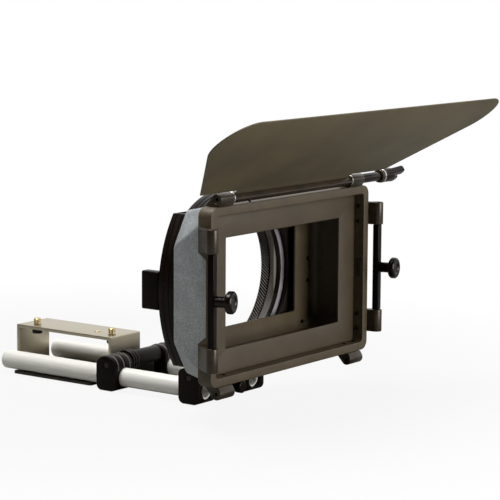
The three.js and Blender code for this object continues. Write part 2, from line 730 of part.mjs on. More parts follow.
function thumbscrew(name) {
  const seat = -sideBar.thickness / 2 - gap;
  const neck = seat - thumb.bodyLength;
  const face = neck - thumb.headLength;
  const outline = [
    [0, seat + thumb.shankDepth],
    [thumb.shankRadius, seat + thumb.shankDepth],
    [thumb.shankRadius, seat],
    [thumb.bodyRadius, seat],
    [thumb.bodyRadius, neck],
    [thumb.headRadius - thumb.chamfer, neck],
    [thumb.headRadius, neck - thumb.chamfer],
    [thumb.headRadius, face + thumb.chamfer],
    [thumb.headRadius - thumb.chamfer, face],
    [thumb.dishRadius, face],
    [thumb.dishRadius - thumb.dishDepth, face + thumb.dishDepth],
    [0, face + thumb.dishDepth],
  ];
  return part(name, 'blackMetal', turned(outline.reverse(), sides.small));
}

function sideAssembly(side, label, degrees) {
  const group = new THREE.Group();
  group.position.set(side * axisAcross, knuckle.sideAxis, 0);
  group.rotation.z = THREE.MathUtils.degToRad(degrees);
  group.add(sideBarPart(`side_bar_${label}`), thumbscrew(`thumbscrew_${label}`));
  return group;
}

// Flag in its own frame: the sheet lies flat over the hinge axis and reaches out along -Y
function flagSheet() {
  const rise = flag.cornerUp - flag.lower;
  const run = flag.cornerAcross - flag.bottomHalfWidth;
  const slant = Math.atan2(rise, run) - Math.asin(flag.cornerRadius / Math.hypot(rise, run));
  const shape = new THREE.Shape();
  shape.moveTo(flag.tabHalfWidth, flag.tabLower);
  shape.lineTo(flag.tabHalfWidth, flag.lower);
  shape.lineTo(flag.bottomHalfWidth, flag.lower);
  shape.absarc(flag.cornerAcross, flag.cornerUp, flag.cornerRadius, slant - Math.PI / 2, Math.PI / 2, false);
  const lastAngle = Math.PI * 1.5 - slant;
  shape.absarc(-flag.cornerAcross, flag.cornerUp, flag.cornerRadius, Math.PI / 2, lastAngle, false);
  shape.lineTo(-flag.bottomHalfWidth, flag.lower);
  shape.lineTo(-flag.tabHalfWidth, flag.lower);
  shape.lineTo(-flag.tabHalfWidth, flag.tabLower);
  shape.closePath();
  const sheet = layer(shape, flag.lift, flag.lift + flag.sheet, sides.flagCorner);
  const flip = new THREE.Matrix4().makeRotationZ(Math.PI);
  return part('flag_sheet', 'flagMetal', moved(sheet, flip));
}

function flagBarPart() {
  const half = flagBar.halfLength;
  const body = block(-half, half, -flagBar.ahead, flagBar.behind, -flagBar.below, flag.lift - gap);
  const left = pin('x', journal.radius, -half - journal.reach, -half + gap, [0, 0, 0], sides.small);
  const right = pin('x', journal.radius, half - gap, wingStart + wing.socketDepth, [0, 0, 0], sides.small);
  return part('flag_bar', 'blackMetal', union([body, left, right]));
}

// Rings threaded on the flag bar's end: from one place on X to another
function endRing(name, material, radius, from, to) {
  const ring = pin('x', radius, from, to, [0, 0, 0], sides.small);
  const bore = pin('x', journal.radius + gap, from - overrun, to + overrun, [0, 0, 0], sides.small);
  return part(name, material, ring.subtract(bore));
}

const sleeveStart = knuckle.topCentre + knuckle.length / 2 + gap;
const sleeveEnd = sleeveStart + sleeve.length;
const washerStart = sleeveEnd + gap;
const wingStart = washerStart + washer.thickness + gap;

// Wing knob: a hub with two ears in one plane through its axis
function wingKnob() {
  const hub = pin('x', wing.hubRadius, 0, wing.hubLength, [0, 0, 0], sides.small);
  const shape = new THREE.Shape();
  const tip = wing.tipReach - wing.tipRadius;
  const lean = Math.atan2(wing.spread - wing.tipRadius, tip);
  shape.absarc(tip, wing.spread - wing.tipRadius, wing.tipRadius, -Math.PI / 4, Math.PI / 2 + lean, false);
  shape.lineTo(wing.hubRadius / 2, wing.hubRadius);
  shape.lineTo(wing.hubRadius / 2, 0);
  shape.lineTo(wing.hubLength, 0);
  shape.closePath();
  const ear = extruded(shape, wing.thickness, sides.corner);
  ear.translate(0, 0, -wing.thickness / 2);
  ear.rotateX(Math.PI / 2);
  const upper = toSolid(ear.clone());
  ear.rotateX(Math.PI);
  const lower = toSolid(ear);
  const socket = pin('x', journal.radius + gap, -overrun, wing.socketDepth + gap, [0, 0, 0], sides.small);
  return part('wing_knob', 'blackMetal', union([hub, upper, lower]).subtract(socket));
}

function flagAssembly() {
  const hinge = new THREE.Group();
  hinge.position.set(0, knuckle.topAxis, axisUp);
  const tilted = new THREE.Group();
  tilted.rotation.x = -THREE.MathUtils.degToRad(flag.tiltDegrees);
  tilted.add(flagSheet(), flagBarPart());
  const knobMesh = wingKnob();
  knobMesh.position.x = wingStart;
  knobMesh.rotation.x = THREE.MathUtils.degToRad(wing.leanDegrees);
  hinge.add(
    tilted,
    endRing('friction_sleeve', 'blackMetal', sleeve.radius, sleeveStart, sleeveEnd),
    endRing('friction_washer', 'steel', washer.radius, washerStart, washerStart + washer.thickness),
    knobMesh,
  );
  return hinge;
}

function hoodAssembly() {
  const group = new THREE.Group();
  group.position.set(0, -lipToBase, axisHeight);
  group.add(
    frontFrame(), maskPlate(), maskCatch('mask_catch_left', -1), maskCatch('mask_catch_right', 1),
    hoodShell(), innerTub(), drumHousing(), trayCarrier(), filterTray(),
    lensCollar(), ...collarScrews(), aperturePlate(), retainingRing(), lockBlock(), lockScrew(),
    ...knuckleParts(), sideAssembly(-1, 'left', sideBar.leftDegrees),
    sideAssembly(1, 'right', sideBar.rightDegrees), flagAssembly(),
  );
  return group;
}

// From here on heights are counted from the rods' axis and depths still from the lip
const clampLow = -rodHeight;

function rodTube(name, side) {
  const [outer, bore, cut] = [rod.diameter / 2, rod.bore / 2, rod.endChamfer];
  const outline = [
    [bore, 0], [outer - cut, 0], [outer, cut],
    [outer, rod.length - cut], [outer - cut, rod.length], [bore, rod.length],
  ];
  const mesh = part(name, 'aluminium', turned(outline, sides.middle));
  mesh.position.set(side * rod.spacing / 2, rodFront, 0);
  return mesh;
}

// A split clamp round one rod, with a screw across the slit above the bore
function rodClamp(name, side, front, topRadius) {
  const rear = front + clamp.length;
  const faces = [side * clampOuter, side * clampInner];
  const [left, right] = [Math.min(...faces), Math.max(...faces)];
  const axis = side * rod.spacing / 2;
  const outline = roundedRect(front, rear, clampLow, clampTop, clamp.cornerRadius, topRadius);
  const body = bar(outline, left, right, sides.barrel);
  const bore = pin('y', rod.diameter / 2 + gap, front - overrun, rear + overrun, [axis, 0, 0], sides.middle);
  const [slitLeft, slitRight] = [axis - clamp.slit / 2, axis + clamp.slit / 2];
  const slit = block(slitLeft, slitRight, front - overrun, rear + overrun, 0, clampTop + overrun);
  const at = [0, front + clamp.length / 2, clampScrewHeight];
  const hole = pin('x', clamp.screwRadius + gap, left - overrun, right + overrun, at);
  const seatEdges = [side * (clampOuter + overrun), side * (clampOuter - clamp.headDepth)];
  const seat = pin('x', clamp.headRadius + gap, Math.min(...seatEdges), Math.max(...seatEdges), at);
  return part(name, 'blackMetal', cutAll(body, [bore, slit, hole, seat]));
}

// The screw that closes one clamp, its head sunk in the clamp's outer face
function clampScrew(name, side, front) {
  const size = {
    radius: clamp.screwRadius, headRadius: clamp.headRadius, headHeight: clamp.headDepth - 2 * gap,
    socketRadius: screw.socketRadius, socketDepth: screw.socketDepth,
  };
  const seat = clampOuter - clamp.headDepth + gap;
  const outwards = new THREE.Matrix4().makeRotationY(side * Math.PI / 2);
  const mesh = part(name, 'steel', moved(capScrew(seat - clampInner - gap, size), outwards));
  mesh.position.set(side * seat, front + clamp.length / 2, clampScrewHeight);
  return mesh;
}

// A clamp and its screw on either side
function clampPair(label, front, topRadius) {
  return [[-1, 'left'], [1, 'right']].flatMap(([side, word]) => [
    rodClamp(`${label}_clamp_${word}`, side, front, topRadius),
    clampScrew(`${label}_clamp_screw_${word}`, side, front),
  ]);
}

// Bridge between the front clamps, with a saddle shaped to the collar
function frontBridge() {
  const half = clampInner - gap;
  const outline = roundedRect(bridgeFront, bridgeRear, bridge.low, bridge.high, bridge.radius);
  const body = bar(outline, -half, half);
  const saddle = block(-bridge.saddleHalfWidth, bridge.saddleHalfWidth, bridgeFront, collarRear - gap,
    bridge.high - bridge.radius, bridge.saddleTop);
  const cradle = pin('y', collar.radius + gap, 0, bridgeRear, [0, 0, lensHeight], sides.large);
  const holeEnd = bridgeFront + knob.shankDepth + gap;
  const hole = pin('y', knob.shankRadius + gap, 0, holeEnd, [knob.across, 0, knob.height]);
  return part('front_bridge', 'blackMetal', cutAll(body.add(saddle), [cradle, hole]));
}

// Knob in the bridge's front face
function frontKnob() {
  const seat = bridgeFront - gap;
  const face = seat - knob.length;
  const outline = [
    [0, face],
    [knob.radius - knob.chamfer, face],
    [knob.radius, face + knob.chamfer],
    [knob.radius, seat - knob.chamfer * 2],
    [knob.skirt, seat - knob.chamfer],
    [knob.skirt, seat],
    [knob.shankRadius, seat],
    [knob.shankRadius, seat + knob.shankDepth],
    [0, seat + knob.shankDepth],
  ];
  const mesh = part('front_knob', 'blackMetal', turned(outline, sides.small));
  mesh.position.set(knob.across, 0, knob.height);
  return mesh;
}

const crossDepth = clamp.middleAt + clamp.length / 2;

function crossTube() {
  const half = clampInner - gap;
  const at = [0, crossDepth, cross.height];
  return part('cross_tube', 'blackMetal', pin('x', cross.radius, -half, half, at, sides.middle));
}

// Locking collar: a sleeve on the cross tube with a row of ridges
function lockingCollar() {
  const bore = cross.radius + gap;
  const left = -cross.ringStart;
  const outline = [[bore, left]];
  for (let i = 0; i < cross.ringCount; i += 1) {
    const start = left + i * cross.ringPitch;
    outline.push([cross.ringRadius, start]);
    outline.push([cross.ringRadius, start + cross.ringWidth]);
    if (i < cross.ringCount - 1) {
      outline.push([cross.sleeveRadius, start + cross.ringWidth]);
      outline.push([cross.sleeveRadius, start + cross.ringPitch]);
    } else {
      outline.push([bore, start + cross.ringWidth]);
    }
  }
  const along = new THREE.Matrix4().makeRotationZ(-Math.PI / 2);
  const mesh = part('locking_collar', 'greyMetal', moved(turned(outline, sides.middle), along));
  mesh.position.set(0, crossDepth, cross.height);
  return mesh;
}

// Web that stands behind the rings and carries the cross tube on the base plate's neck
function middleWeb() {
  const half = web.length / 2;
  const shape = roundedRect(crossDepth - half, crossDepth + half, plateSeat, cross.height, web.radius);
  const at = [0, crossDepth, cross.height];
  const cradle = pin('x', cross.radius + gap, -clampInner, clampInner, at, sides.middle);
  return part('middle_web', 'blackMetal', bar(shape, -web.halfWidth, web.halfWidth).subtract(cradle));
}

const plateTop = -rod.diameter / 2 - gap;
const plateSeat = plateTop + gap;
const plateRear = lipToBase + base.length / 2;
const plateShoulder = plateRear - base.length;

function riserScrewPlaces() {
  return [
    [-riserScrew.across, plateShoulder + riserScrew.inset],
    [riserScrew.across, plateRear - riserScrew.inset],
  ];
}

function basePlate() {
  const half = base.width / 2;
  const neck = base.neckWidth / 2;
  const front = crossDepth - web.length / 2;
  const wide = roundedRect(-half, half, plateShoulder, plateRear, base.cornerRadius);
  const narrow = roundedRect(-neck, neck, front, plateShoulder + 2 * base.cornerRadius, base.cornerRadius);
  const radius = screw.radius + gap;
  const holes = riserScrewPlaces().map(([x, y]) => pin('z', radius, -rodHeight - overrun, 0, [x, y, 0]));
  const body = layer(wide, -rodHeight, plateTop).add(layer(narrow, -rodHeight, plateTop));
  return part('base_plate', 'blackMetal', cutAll(body, holes));
}

function riserBox() {
  const { front, halfWidth, top, wall } = riser;
  const rear = front + riser.length;
  const outer = bar(roundedRect(front, rear, plateSeat, top, riser.cornerRadius), -halfWidth, halfWidth);
  const hollow = bar(
    roundedRect(front + wall, rear - wall, plateSeat + wall, top - wall, riser.innerRadius),
    -halfWidth - overrun,
    halfWidth + overrun,
  );
  const radius = screw.radius + gap;
  const holes = riserScrewPlaces().map(([x, y]) => pin('z', radius, plateSeat - overrun, 0, [x, y, 0]));
  for (const { across, depth } of [cameraScrew.front, cameraScrew.rear]) {
    holes.push(pin('z', cameraScrew.radius + gap, 0, top + overrun, [across, depth, 0], sides.small));
  }
  const insertAt = [insert.across, insert.depth, 0];
  holes.push(pin('z', insert.radius + gap, 0, top + overrun, insertAt, sides.small));
  return part('riser_box', 'nickel', cutAll(outer, [hollow, ...holes]));
}

function riserScrews() {
  const seat = plateSeat + riser.wall + gap;
  const length = seat + rodHeight - gap;
  return riserScrewPlaces().map(([x, y], i) => {
    const mesh = part(`riser_screw_${i + 1}`, 'steel', capScrew(length));
    mesh.position.set(x, y, seat);
    return mesh;
  });
}

// Camera screw: its head hangs under the riser's top and its thread stands above it
function cameraScrewPart(name, { across, depth }) {
  const { radius, height, headRadius, headHeight, chamfer } = cameraScrew;
  const seat = riser.top - riser.wall - gap;
  const outline = [
    [0, seat - headHeight],
    [headRadius - chamfer, seat - headHeight],
    [headRadius, seat - headHeight + chamfer],
    [headRadius, seat],
    [radius, seat],
    [radius, riser.top + height - chamfer],
    [radius - chamfer, riser.top + height],
    [0, riser.top + height],
  ];
  const upright = new THREE.Matrix4().makeRotationX(Math.PI / 2);
  const mesh = part(name, 'brass', moved(turned(outline, sides.small), upright));
  mesh.position.set(across, depth, 0);
  return mesh;
}

function locatingInsert() {
  const top = riser.top + insert.proud;
  const at = [insert.across, insert.depth, 0];
  return part('locating_insert', 'brass', pin('z', insert.radius, top - insert.length, top, at, sides.small));
}

function supportAssembly() {
  const group = new THREE.Group();
  group.position.set(0, -lipToBase, rodHeight);
  group.add(
    rodTube('rod_left', -1), rodTube('rod_right', 1),
    ...clampPair('front', frontClampAt, clamp.cornerRadius), frontBridge(), frontKnob(),
    ...clampPair('middle', clamp.middleAt, clamp.middleRadius), crossTube(), lockingCollar(), middleWeb(),
    basePlate(), riserBox(), ...riserScrews(),
    cameraScrewPart('camera_screw_front', cameraScrew.front),
    cameraScrewPart('camera_screw_rear', cameraScrew.rear), locatingInsert(),
  );
  return group;
}

const matteBox = new THREE.Group();
matteBox.add(hoodAssembly(), supportAssembly());

export default matteBox;
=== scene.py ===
# A matte box with a top flag, a filter stage and support rods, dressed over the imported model.
# Lengths are in millimetres until a mesh is finished. Depths in the hood count from its lip.
import json
import math

import bmesh
import bpy
from mathutils import Matrix, Vector
from mathutils.geometry import tessellate_polygon
from types import SimpleNamespace as Sizes


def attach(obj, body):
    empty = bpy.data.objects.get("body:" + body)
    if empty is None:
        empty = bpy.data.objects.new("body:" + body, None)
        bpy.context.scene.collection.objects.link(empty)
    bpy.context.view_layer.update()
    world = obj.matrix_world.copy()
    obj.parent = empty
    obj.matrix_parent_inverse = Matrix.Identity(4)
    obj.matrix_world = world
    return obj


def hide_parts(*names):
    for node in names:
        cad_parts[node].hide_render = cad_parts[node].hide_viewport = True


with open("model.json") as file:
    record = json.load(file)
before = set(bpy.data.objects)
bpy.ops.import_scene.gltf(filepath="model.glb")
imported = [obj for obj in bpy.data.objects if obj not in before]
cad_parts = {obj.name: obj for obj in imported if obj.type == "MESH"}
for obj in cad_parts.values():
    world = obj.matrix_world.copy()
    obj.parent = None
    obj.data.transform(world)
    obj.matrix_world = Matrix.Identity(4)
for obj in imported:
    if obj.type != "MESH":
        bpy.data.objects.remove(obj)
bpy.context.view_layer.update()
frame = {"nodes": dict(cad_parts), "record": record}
print("the frame is loaded")

millimetre = 0.001
lipY = -212.5
lensZ = 95.2
rodZ = 10.2
overrun = 1             # how far a cutter reaches past what it cuts
smooth, fine = 96, 160  # segments of turned pieces, and of large ones
sides = ((-1, "left"), (1, "right"))
bodyOf = {node: body for body, nodes in frame["record"]["behaviour"]["bodies"].items() for node in nodes}


# Nodes for shaders and shapes

def toLinear(hexColour):
    channels = [int(hexColour[i:i + 2], 16) / 255 for i in (1, 3, 5)]
    return tuple(c / 12.92 if c <= 0.04045 else ((c + 0.055) / 1.055) ** 2.4 for c in channels) + (1.0,)


def addNode(tree, kind, inputs=None, **settings):
    # One node with its settings; an input is a value, an output, or a node, which gives its first output
    node = tree.nodes.new(kind)
    for name, value in settings.items():
        setattr(node, name, value)
    for name, value in (inputs or {}).items():
        socket = node.inputs[name]
        if isinstance(value, bpy.types.Node):
            value = value.outputs[0]
        if isinstance(value, bpy.types.NodeSocket):
            tree.links.new(value, socket)
        else:
            socket.default_value = value
    return node


def startMaterial(name, roughness, metallic=0.0, **constants):
    material = bpy.data.materials.new(name)
    material.use_nodes = True
    tree = material.node_tree
    tree.nodes.clear()
    inputs = {"Roughness": roughness, "Metallic": metallic, **constants}
    shader = addNode(tree, "ShaderNodeBsdfPrincipled", inputs)
    addNode(tree, "ShaderNodeOutputMaterial", {"Surface": shader})
    where = addNode(tree, "ShaderNodeTexCoord").outputs["Object"]
    return material, tree, shader, where


def addGrain(tree, where, spacing, stretch=(1, 1, 1), detail=2.0):
    # Noise whose spots are `spacing` millimetres apart
    mapped = addNode(tree, "ShaderNodeMapping", {"Vector": where, "Scale": stretch})
    inputs = {"Vector": mapped, "Scale": 1 / (spacing * millimetre), "Detail": detail}
    return addNode(tree, "ShaderNodeTexNoise", inputs)


def addLook(tree, shader, colour, wear, relief):
    # Colour, roughness and relief, each from a pattern with its limits
    (tint, stops), (marks, low, high), (height, depth) = colour, wear, relief
    ramp = addNode(tree, "ShaderNodeValToRGB", {"Fac": tint})
    for element, (position, hexColour) in zip(ramp.color_ramp.elements, stops):
        element.position = position
        element.color = toLinear(hexColour)
    spread = addNode(tree, "ShaderNodeMapRange", {"Value": marks, "To Min": low, "To Max": high})
    inputs = {"Height": height, "Distance": depth * millimetre, "Strength": 1.0}
    bump = addNode(tree, "ShaderNodeBump", inputs)
    for node, name in ((ramp, "Base Color"), (spread, "Roughness"), (bump, "Normal")):
        tree.links.new(node.outputs[0], shader.inputs[name])


def mouldedNylon(name, dark, light):
    # Glass-filled nylon from a spark-eroded mould: an even sand grain that softens every reflection
    material, tree, shader, where = startMaterial(name, 0.5, **{"IOR": 1.53})
    cloud = addGrain(tree, where, 18, detail=3.0)
    grain = addGrain(tree, where, 0.9)          # the real 0.3 mm grain, drawn coarser so that it shows
    both = addNode(tree, "ShaderNodeMath", {0: cloud, 1: grain}, operation="MULTIPLY")
    addLook(tree, shader, (both, [(0.12, dark), (0.42, light)]), (grain, 0.42, 0.62), (grain, 0.06))
    return material


def hammeredEnamel(name, dark, light):
    # Hammer-finish enamel, sprayed: shallow dimples about 1 mm across with brighter lips
    material, tree, shader, where = startMaterial(name, 0.38, 0.35)
    inputs = {"Vector": where, "Scale": 1 / (1.1 * millimetre)}
    cells = addNode(tree, "ShaderNodeTexVoronoi", inputs, feature="SMOOTH_F1").outputs["Distance"]
    cloud = addGrain(tree, where, 12)
    spot = addNode(tree, "ShaderNodeMath", {0: cells, 1: cloud}, operation="MULTIPLY")
    addLook(tree, shader, (spot, [(0.05, dark), (0.36, light)]), (cloud, 0.3, 0.46), (cells, 0.12))
    return material


def anodisedAluminium(name, dark, light, roughness, metallic=0.0, sheen=0.25):
    # Aluminium, machined, blasted and dyed: a dark skin with a tight sheen and faint cutter marks
    material, tree, shader, where = startMaterial(name, roughness, metallic, **{"Specular IOR Level": sheen})
    marks = addGrain(tree, where, 0.7)
    cloud = addGrain(tree, where, 14)
    both = addNode(tree, "ShaderNodeMath", {0: marks, 1: cloud}, operation="MULTIPLY")
    wear = (marks, roughness - 0.06, roughness + 0.08)
    addLook(tree, shader, (both, [(0.15, dark), (0.4, light)]), wear, (marks, 0.015))
    return material


def powderCoat(name, dark, light):
    # Powder coat on aluminium sheet, baked: a dry skin with a slow orange-peel swell
    material, tree, shader, where = startMaterial(name, 0.6, **{"IOR": 1.5})
    swell = addGrain(tree, where, 2.2, detail=1.0)
    cloud = addGrain(tree, where, 60, detail=4.0)
    sand = addGrain(tree, where, 0.6)
    height = addNode(tree, "ShaderNodeMath", {0: swell, 1: sand}, operation="ADD")
    addLook(tree, shader, (cloud, [(0.3, dark), (0.7, light)]), (sand, 0.55, 0.72), (height, 0.05))
    return material


def bareMetal(name, dark, light, roughness, spacing, stretch=(1, 1, 1), depth=0.01, metallic=1.0):
    # Metal with the marks of its last tool: drawn, brushed or turned
    material, tree, shader, where = startMaterial(name, roughness, metallic)
    marks = addGrain(tree, where, spacing, stretch)
    wear = (marks, roughness - 0.05, roughness + 0.07)
    addLook(tree, shader, (marks, [(0.3, dark), (0.7, light)]), wear, (marks, depth))
    return material


finishes = {
    "frameNylon": mouldedNylon("spark-eroded nylon", "#3d311f", "#4f432c"),
    "maskNylon": mouldedNylon("fine-grained nylon sheet", "#3a2f1e", "#483c28"),
    "tubNylon": mouldedNylon("moulded nylon tub", "#41351f", "#52452f"),
    "enamel": hammeredEnamel("hammer-finish enamel", "#868a8b", "#a7abad"),
    "blackAnodised": anodisedAluminium("black-anodised aluminium", "#070200", "#110702", 0.34, sheen=0.12),
    "blackTurned": anodisedAluminium("black-anodised turned aluminium", "#090300", "#150b04", 0.24),
    "bronzeAnodised": anodisedAluminium("bronze-anodised aluminium", "#2b2217", "#403627", 0.3, 0.3, 0.5),
    "drumAnodised": anodisedAluminium("satin black-anodised plate", "#0b0300", "#160b04", 0.36, sheen=0.15),
    "barAnodised": anodisedAluminium("dull black-anodised bar", "#1f160b", "#382c1c", 0.36, sheen=0.5),
    "flagCoat": powderCoat("powder-coated sheet", "#4e4534", "#61573f"),
    "rodAluminium": bareMetal("drawn and clear-anodised aluminium", "#dcdad2", "#eceae4", 0.4, 0.5,
                              (1, 0.02, 1), metallic=0.12),
    "riserNickel": bareMetal("bead-blasted nickel plate", "#a59c86", "#c9c1ae", 0.36, 0.4, depth=0.02),
    # Grey for the collar's knurl and liner and the middle clamps' bands: a painted sheen on parts that are
    # black-anodised
    "collarGrey": anodisedAluminium("black-anodised aluminium painted grey for sheen", "#5f5955", "#7d7673", 0.36, sheen=0.3),
    "ringFace": anodisedAluminium("clear-anodised turned ring", "#847d80", "#a39c9f", 0.34, sheen=0.4),
    "aperturePaint": powderCoat("matt grey-painted plate", "#5d5a50", "#77756c"),
    "brass": bareMetal("turned brass", "#b39b6b", "#dccaa2", 0.3, 0.4),
    "steel": bareMetal("bright turned steel", "#b5b2ab", "#dedcd6", 0.22, 0.5),
    "screwSteel": bareMetal("black-oxide steel", "#1c1712", "#4a443c", 0.24, 0.5),
}
print("the finishes are made:", len(finishes))


# Outlines and solids

def roundedOutline(left, right, low, high, radius, steps=8, topRadius=None):
    top = radius if topRadius is None else topRadius
    corners = ((right, low, -90, radius), (right, high, 0, top),
               (left, high, 90, top), (left, low, 180, radius))
    points = []
    for x, y, start, radius in corners:
        centreX = x - math.copysign(radius, x - (left + right) / 2)
        centreY = y - math.copysign(radius, y - (low + high) / 2)
        for i in range(steps + 1):
            angle = math.radians(start + 90 * i / steps)
            points.append((centreX + radius * math.cos(angle), centreY + radius * math.sin(angle)))
    return points


def centredOutline(halfWidth, halfHeight, radius, steps=8):
    return roundedOutline(-halfWidth, halfWidth, -halfHeight, halfHeight, radius, steps)


def circleOutline(radius, count=96):
    angles = [2 * math.pi * i / count for i in range(count)]
    return [(radius * math.cos(a), radius * math.sin(a)) for a in angles]


def arcOutline(radius, start, end, steps, x=0.0, y=0.0):
    angles = [start + (end - start) * i / steps for i in range(steps + 1)]
    return [(x + radius * math.cos(a), y + radius * math.sin(a)) for a in angles]


def roundCorners(points, radius, steps=4, closed=True, keepAxis=False):
    # Each corner becomes a short curve; corners on the axis of a turned piece stay
    rounded = []
    count = len(points)
    for i, here in enumerate(points):
        if (not closed and i in (0, count - 1)) or (keepAxis and abs(here[0]) < 1e-6):
            rounded.append(tuple(here))
            continue
        corner = Vector(here)
        toBefore = Vector(points[i - 1]) - corner
        toAfter = Vector(points[(i + 1) % count]) - corner
        reach = min(radius, 0.45 * toBefore.length, 0.45 * toAfter.length)
        start = corner + toBefore.normalized() * reach
        end = corner + toAfter.normalized() * reach
        for s in range(steps + 1):
            t = s / steps
            point = start * (1 - t) ** 2 + corner * 2 * t * (1 - t) + end * t ** 2
            rounded.append((point.x, point.y))
    return rounded


def shiftOutline(points, amount):
    # Moves an outline towards the material on its left
    shifted = []
    for i, here in enumerate(points):
        before = Vector(here) - Vector(points[i - 1])
        after = Vector(points[(i + 1) % len(points)]) - Vector(here)
        first = Vector((-before.y, before.x)).normalized()
        second = Vector((-after.y, after.x)).normalized()
        push = (first + second) / max(1 + first.dot(second), 0.4) * amount
        shifted.append((here[0] + push.x, here[1] + push.y))
    return shifted


def alongY(x=0.0, z=lensZ):
    # Shapes are drawn in (u, v) and extruded along w; a place turns that into (x, y, z)
    return lambda u, v, w: (x + u, lipY + w, z + v)


def alongX(y, z, x=0.0):
    return lambda u, v, w: (x + w, y + u, z + v)


def alongZ(x, depth):
    return lambda u, v, w: (x + u, lipY + depth + v, rodZ + w)


lensAcross = alongX(lipY, lensZ)
rodAcross = alongX(lipY, rodZ)


def addLoops(shape, loops, place, closed=False):
    # Bands of faces between loops of equal counts; each loop is (outline, w)
    rings = [[shape.verts.new(place(u, v, w)) for u, v in outline] for outline, w in loops]
    pairs = list(zip(rings, rings[1:])) + ([(rings[-1], rings[0])] if closed else [])
    for lower, upper in pairs:
        for i in range(len(lower)):
            j = (i + 1) % len(lower)
            shape.faces.new((lower[i], lower[j], upper[j], upper[i]))
    return rings


def addSlab(shape, outlines, low, high, edge, place, steps=3):
    # A plate with soft edges: the first outline is its rim, the others are holes, turned the other way
    profile = []
    for i in range(steps + 1):
        angle = math.pi / 2 * i / steps
        profile.append((edge * (1 - math.sin(angle)), low + edge * (1 - math.cos(angle))))
    profile += [(inset, high + low - w) for inset, w in reversed(profile)]
    faces = {"low": [], "high": []}
    flat = []
    for outline in outlines:
        rings = addLoops(shape, [(shiftOutline(outline, inset), w) for inset, w in profile], place)
        faces["low"] += rings[0]
        faces["high"] += rings[-1]
        flat.append([Vector((u, v, 0)) for u, v in shiftOutline(outline, edge)])
    for side in ("low", "high"):
        for a, b, c in tessellate_polygon(flat):
            shape.faces.new((faces[side][a], faces[side][b], faces[side][c]))
    return shape


def pinOutline(radius, low, high):
    return [(0, low), (radius, low), (radius, high), (0, high)]


def ringOutline(inner, outer, low, high):
    return [(inner, low), (outer, low), (outer, high), (inner, high)]


def addTurned(shape, outline, place, segments=96, edge=0.3, steps=3):
    # A turned piece: an outline of (radius, place along the axis), closed, or open from axis to axis
    onAxis = abs(outline[0][0]) < 1e-6
    soft = roundCorners(outline, edge, steps, closed=not onAxis, keepAxis=True)
    rings = []
    for radius, w in soft:
        if radius < 1e-6:
            rings.append([shape.verts.new(place(0, 0, w))])
        else:
            rings.append([shape.verts.new(place(u, v, w)) for u, v in circleOutline(radius, segments)])
    pairs = list(zip(rings, rings[1:])) + ([] if onAxis else [(rings[-1], rings[0])])
    for lower, upper in pairs:
        for i in range(segments):
            j = (i + 1) % segments
            if len(lower) == 1 and len(upper) > 1:
                shape.faces.new((lower[0], upper[j], upper[i]))
            elif len(upper) == 1 and len(lower) > 1:
                shape.faces.new((lower[i], lower[j], upper[0]))
            elif len(lower) > 1:
                shape.faces.new((lower[i], lower[j], upper[j], upper[i]))
    return shape


def newSkin(loops):
    # A closed skin through loops about the lens axis
    shape = bmesh.new()
    addLoops(shape, loops, alongY(), closed=True)
    return shape


def newSlab(outlines, low, high, edge, place=alongY()):
    return addSlab(bmesh.new(), outlines, low, high, edge, place)


def newTurned(outline, place, segments=96, edge=0.3, steps=3):
    return addTurned(bmesh.new(), outline, place, segments, edge, steps)


def sideSlab(outline, side, near, far, edge, place=lensAcross):
    # A slab across the object, on its left or right
    return newSlab([outline], *sorted((side * near, side * far)), edge, place)


def cutBlock(across, depth, up):
    # A plain cutter between pairs of limits
    shape = bmesh.new()
    corners = [shape.verts.new((x, y, z)) for x in across for y in depth for z in up]
    for face in ((0, 1, 3, 2), (4, 6, 7, 5), (0, 4, 5, 1), (2, 3, 7, 6), (0, 2, 6, 4), (1, 5, 7, 3)):
        shape.faces.new([corners[i] for i in face])
    return shape


def cutPin(radius, low, high, place, segments=64):
    # A plain round cutter
    return newTurned(pinOutline(radius, low, high), place, segments, 0.001, 1)


def toMesh(name, shape):
    bmesh.ops.remove_doubles(shape, verts=shape.verts, dist=1e-4)
    bmesh.ops.recalc_face_normals(shape, faces=shape.faces)
    mesh = bpy.data.meshes.new(name)
    shape.to_mesh(mesh)
    shape.free()
    mesh.transform(Matrix.Scale(millimetre, 4))
    return mesh


def toObject(name, shape):
    mesh = shape if isinstance(shape, bpy.types.Mesh) else toMesh(name, shape)
    piece = bpy.data.objects.new(name, mesh)
    bpy.context.scene.collection.objects.link(piece)
    return piece


def settle(piece):
    # Turns the modifiers' result into the piece's own mesh
    bpy.context.view_layer.update()
    evaluated = piece.evaluated_get(bpy.context.evaluated_depsgraph_get())
    finished = bpy.data.meshes.new_from_object(evaluated)
    piece.modifiers.clear()
    piece.data = finished


def combine(piece, tools, operation="DIFFERENCE"):
    # Cuts solids out of a piece, or joins them on
    for shape in tools:
        tool = toObject("tool", shape)
        modifier = piece.modifiers.new("cut", "BOOLEAN")
        modifier.solver = "EXACT"
        modifier.operation = operation
        modifier.object = tool
        settle(piece)
        bpy.data.objects.remove(tool)
    return piece


def softenEdges(piece, width):
    modifier = piece.modifiers.new("edges", "BEVEL")
    modifier.width = width * millimetre
    modifier.segments = 2
    modifier.limit_method = "ANGLE"
    modifier.angle_limit = math.radians(30)
    settle(piece)


def finishPiece(piece, finish, body, nodes=(), sharp=32):
    mesh = piece.data
    mesh.materials.clear()
    mesh.materials.append(finishes[finish])
    for polygon in mesh.polygons:
        polygon.material_index = 0
    mesh.shade_smooth()
    mesh.set_sharp_from_angle(angle=math.radians(sharp))
    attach(piece, body)
    if nodes:
        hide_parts(*nodes)
    return piece


def finishPart(piece, finish, chosen):
    # A second finish for the chosen faces
    piece.data.materials.append(finishes[finish])
    for polygon in piece.data.polygons:
        polygon.material_index = 1 if chosen(polygon) else 0


def nameOf(node):
    words = node.split("_")
    return words[0] + "".join(word.capitalize() for word in words[1:])


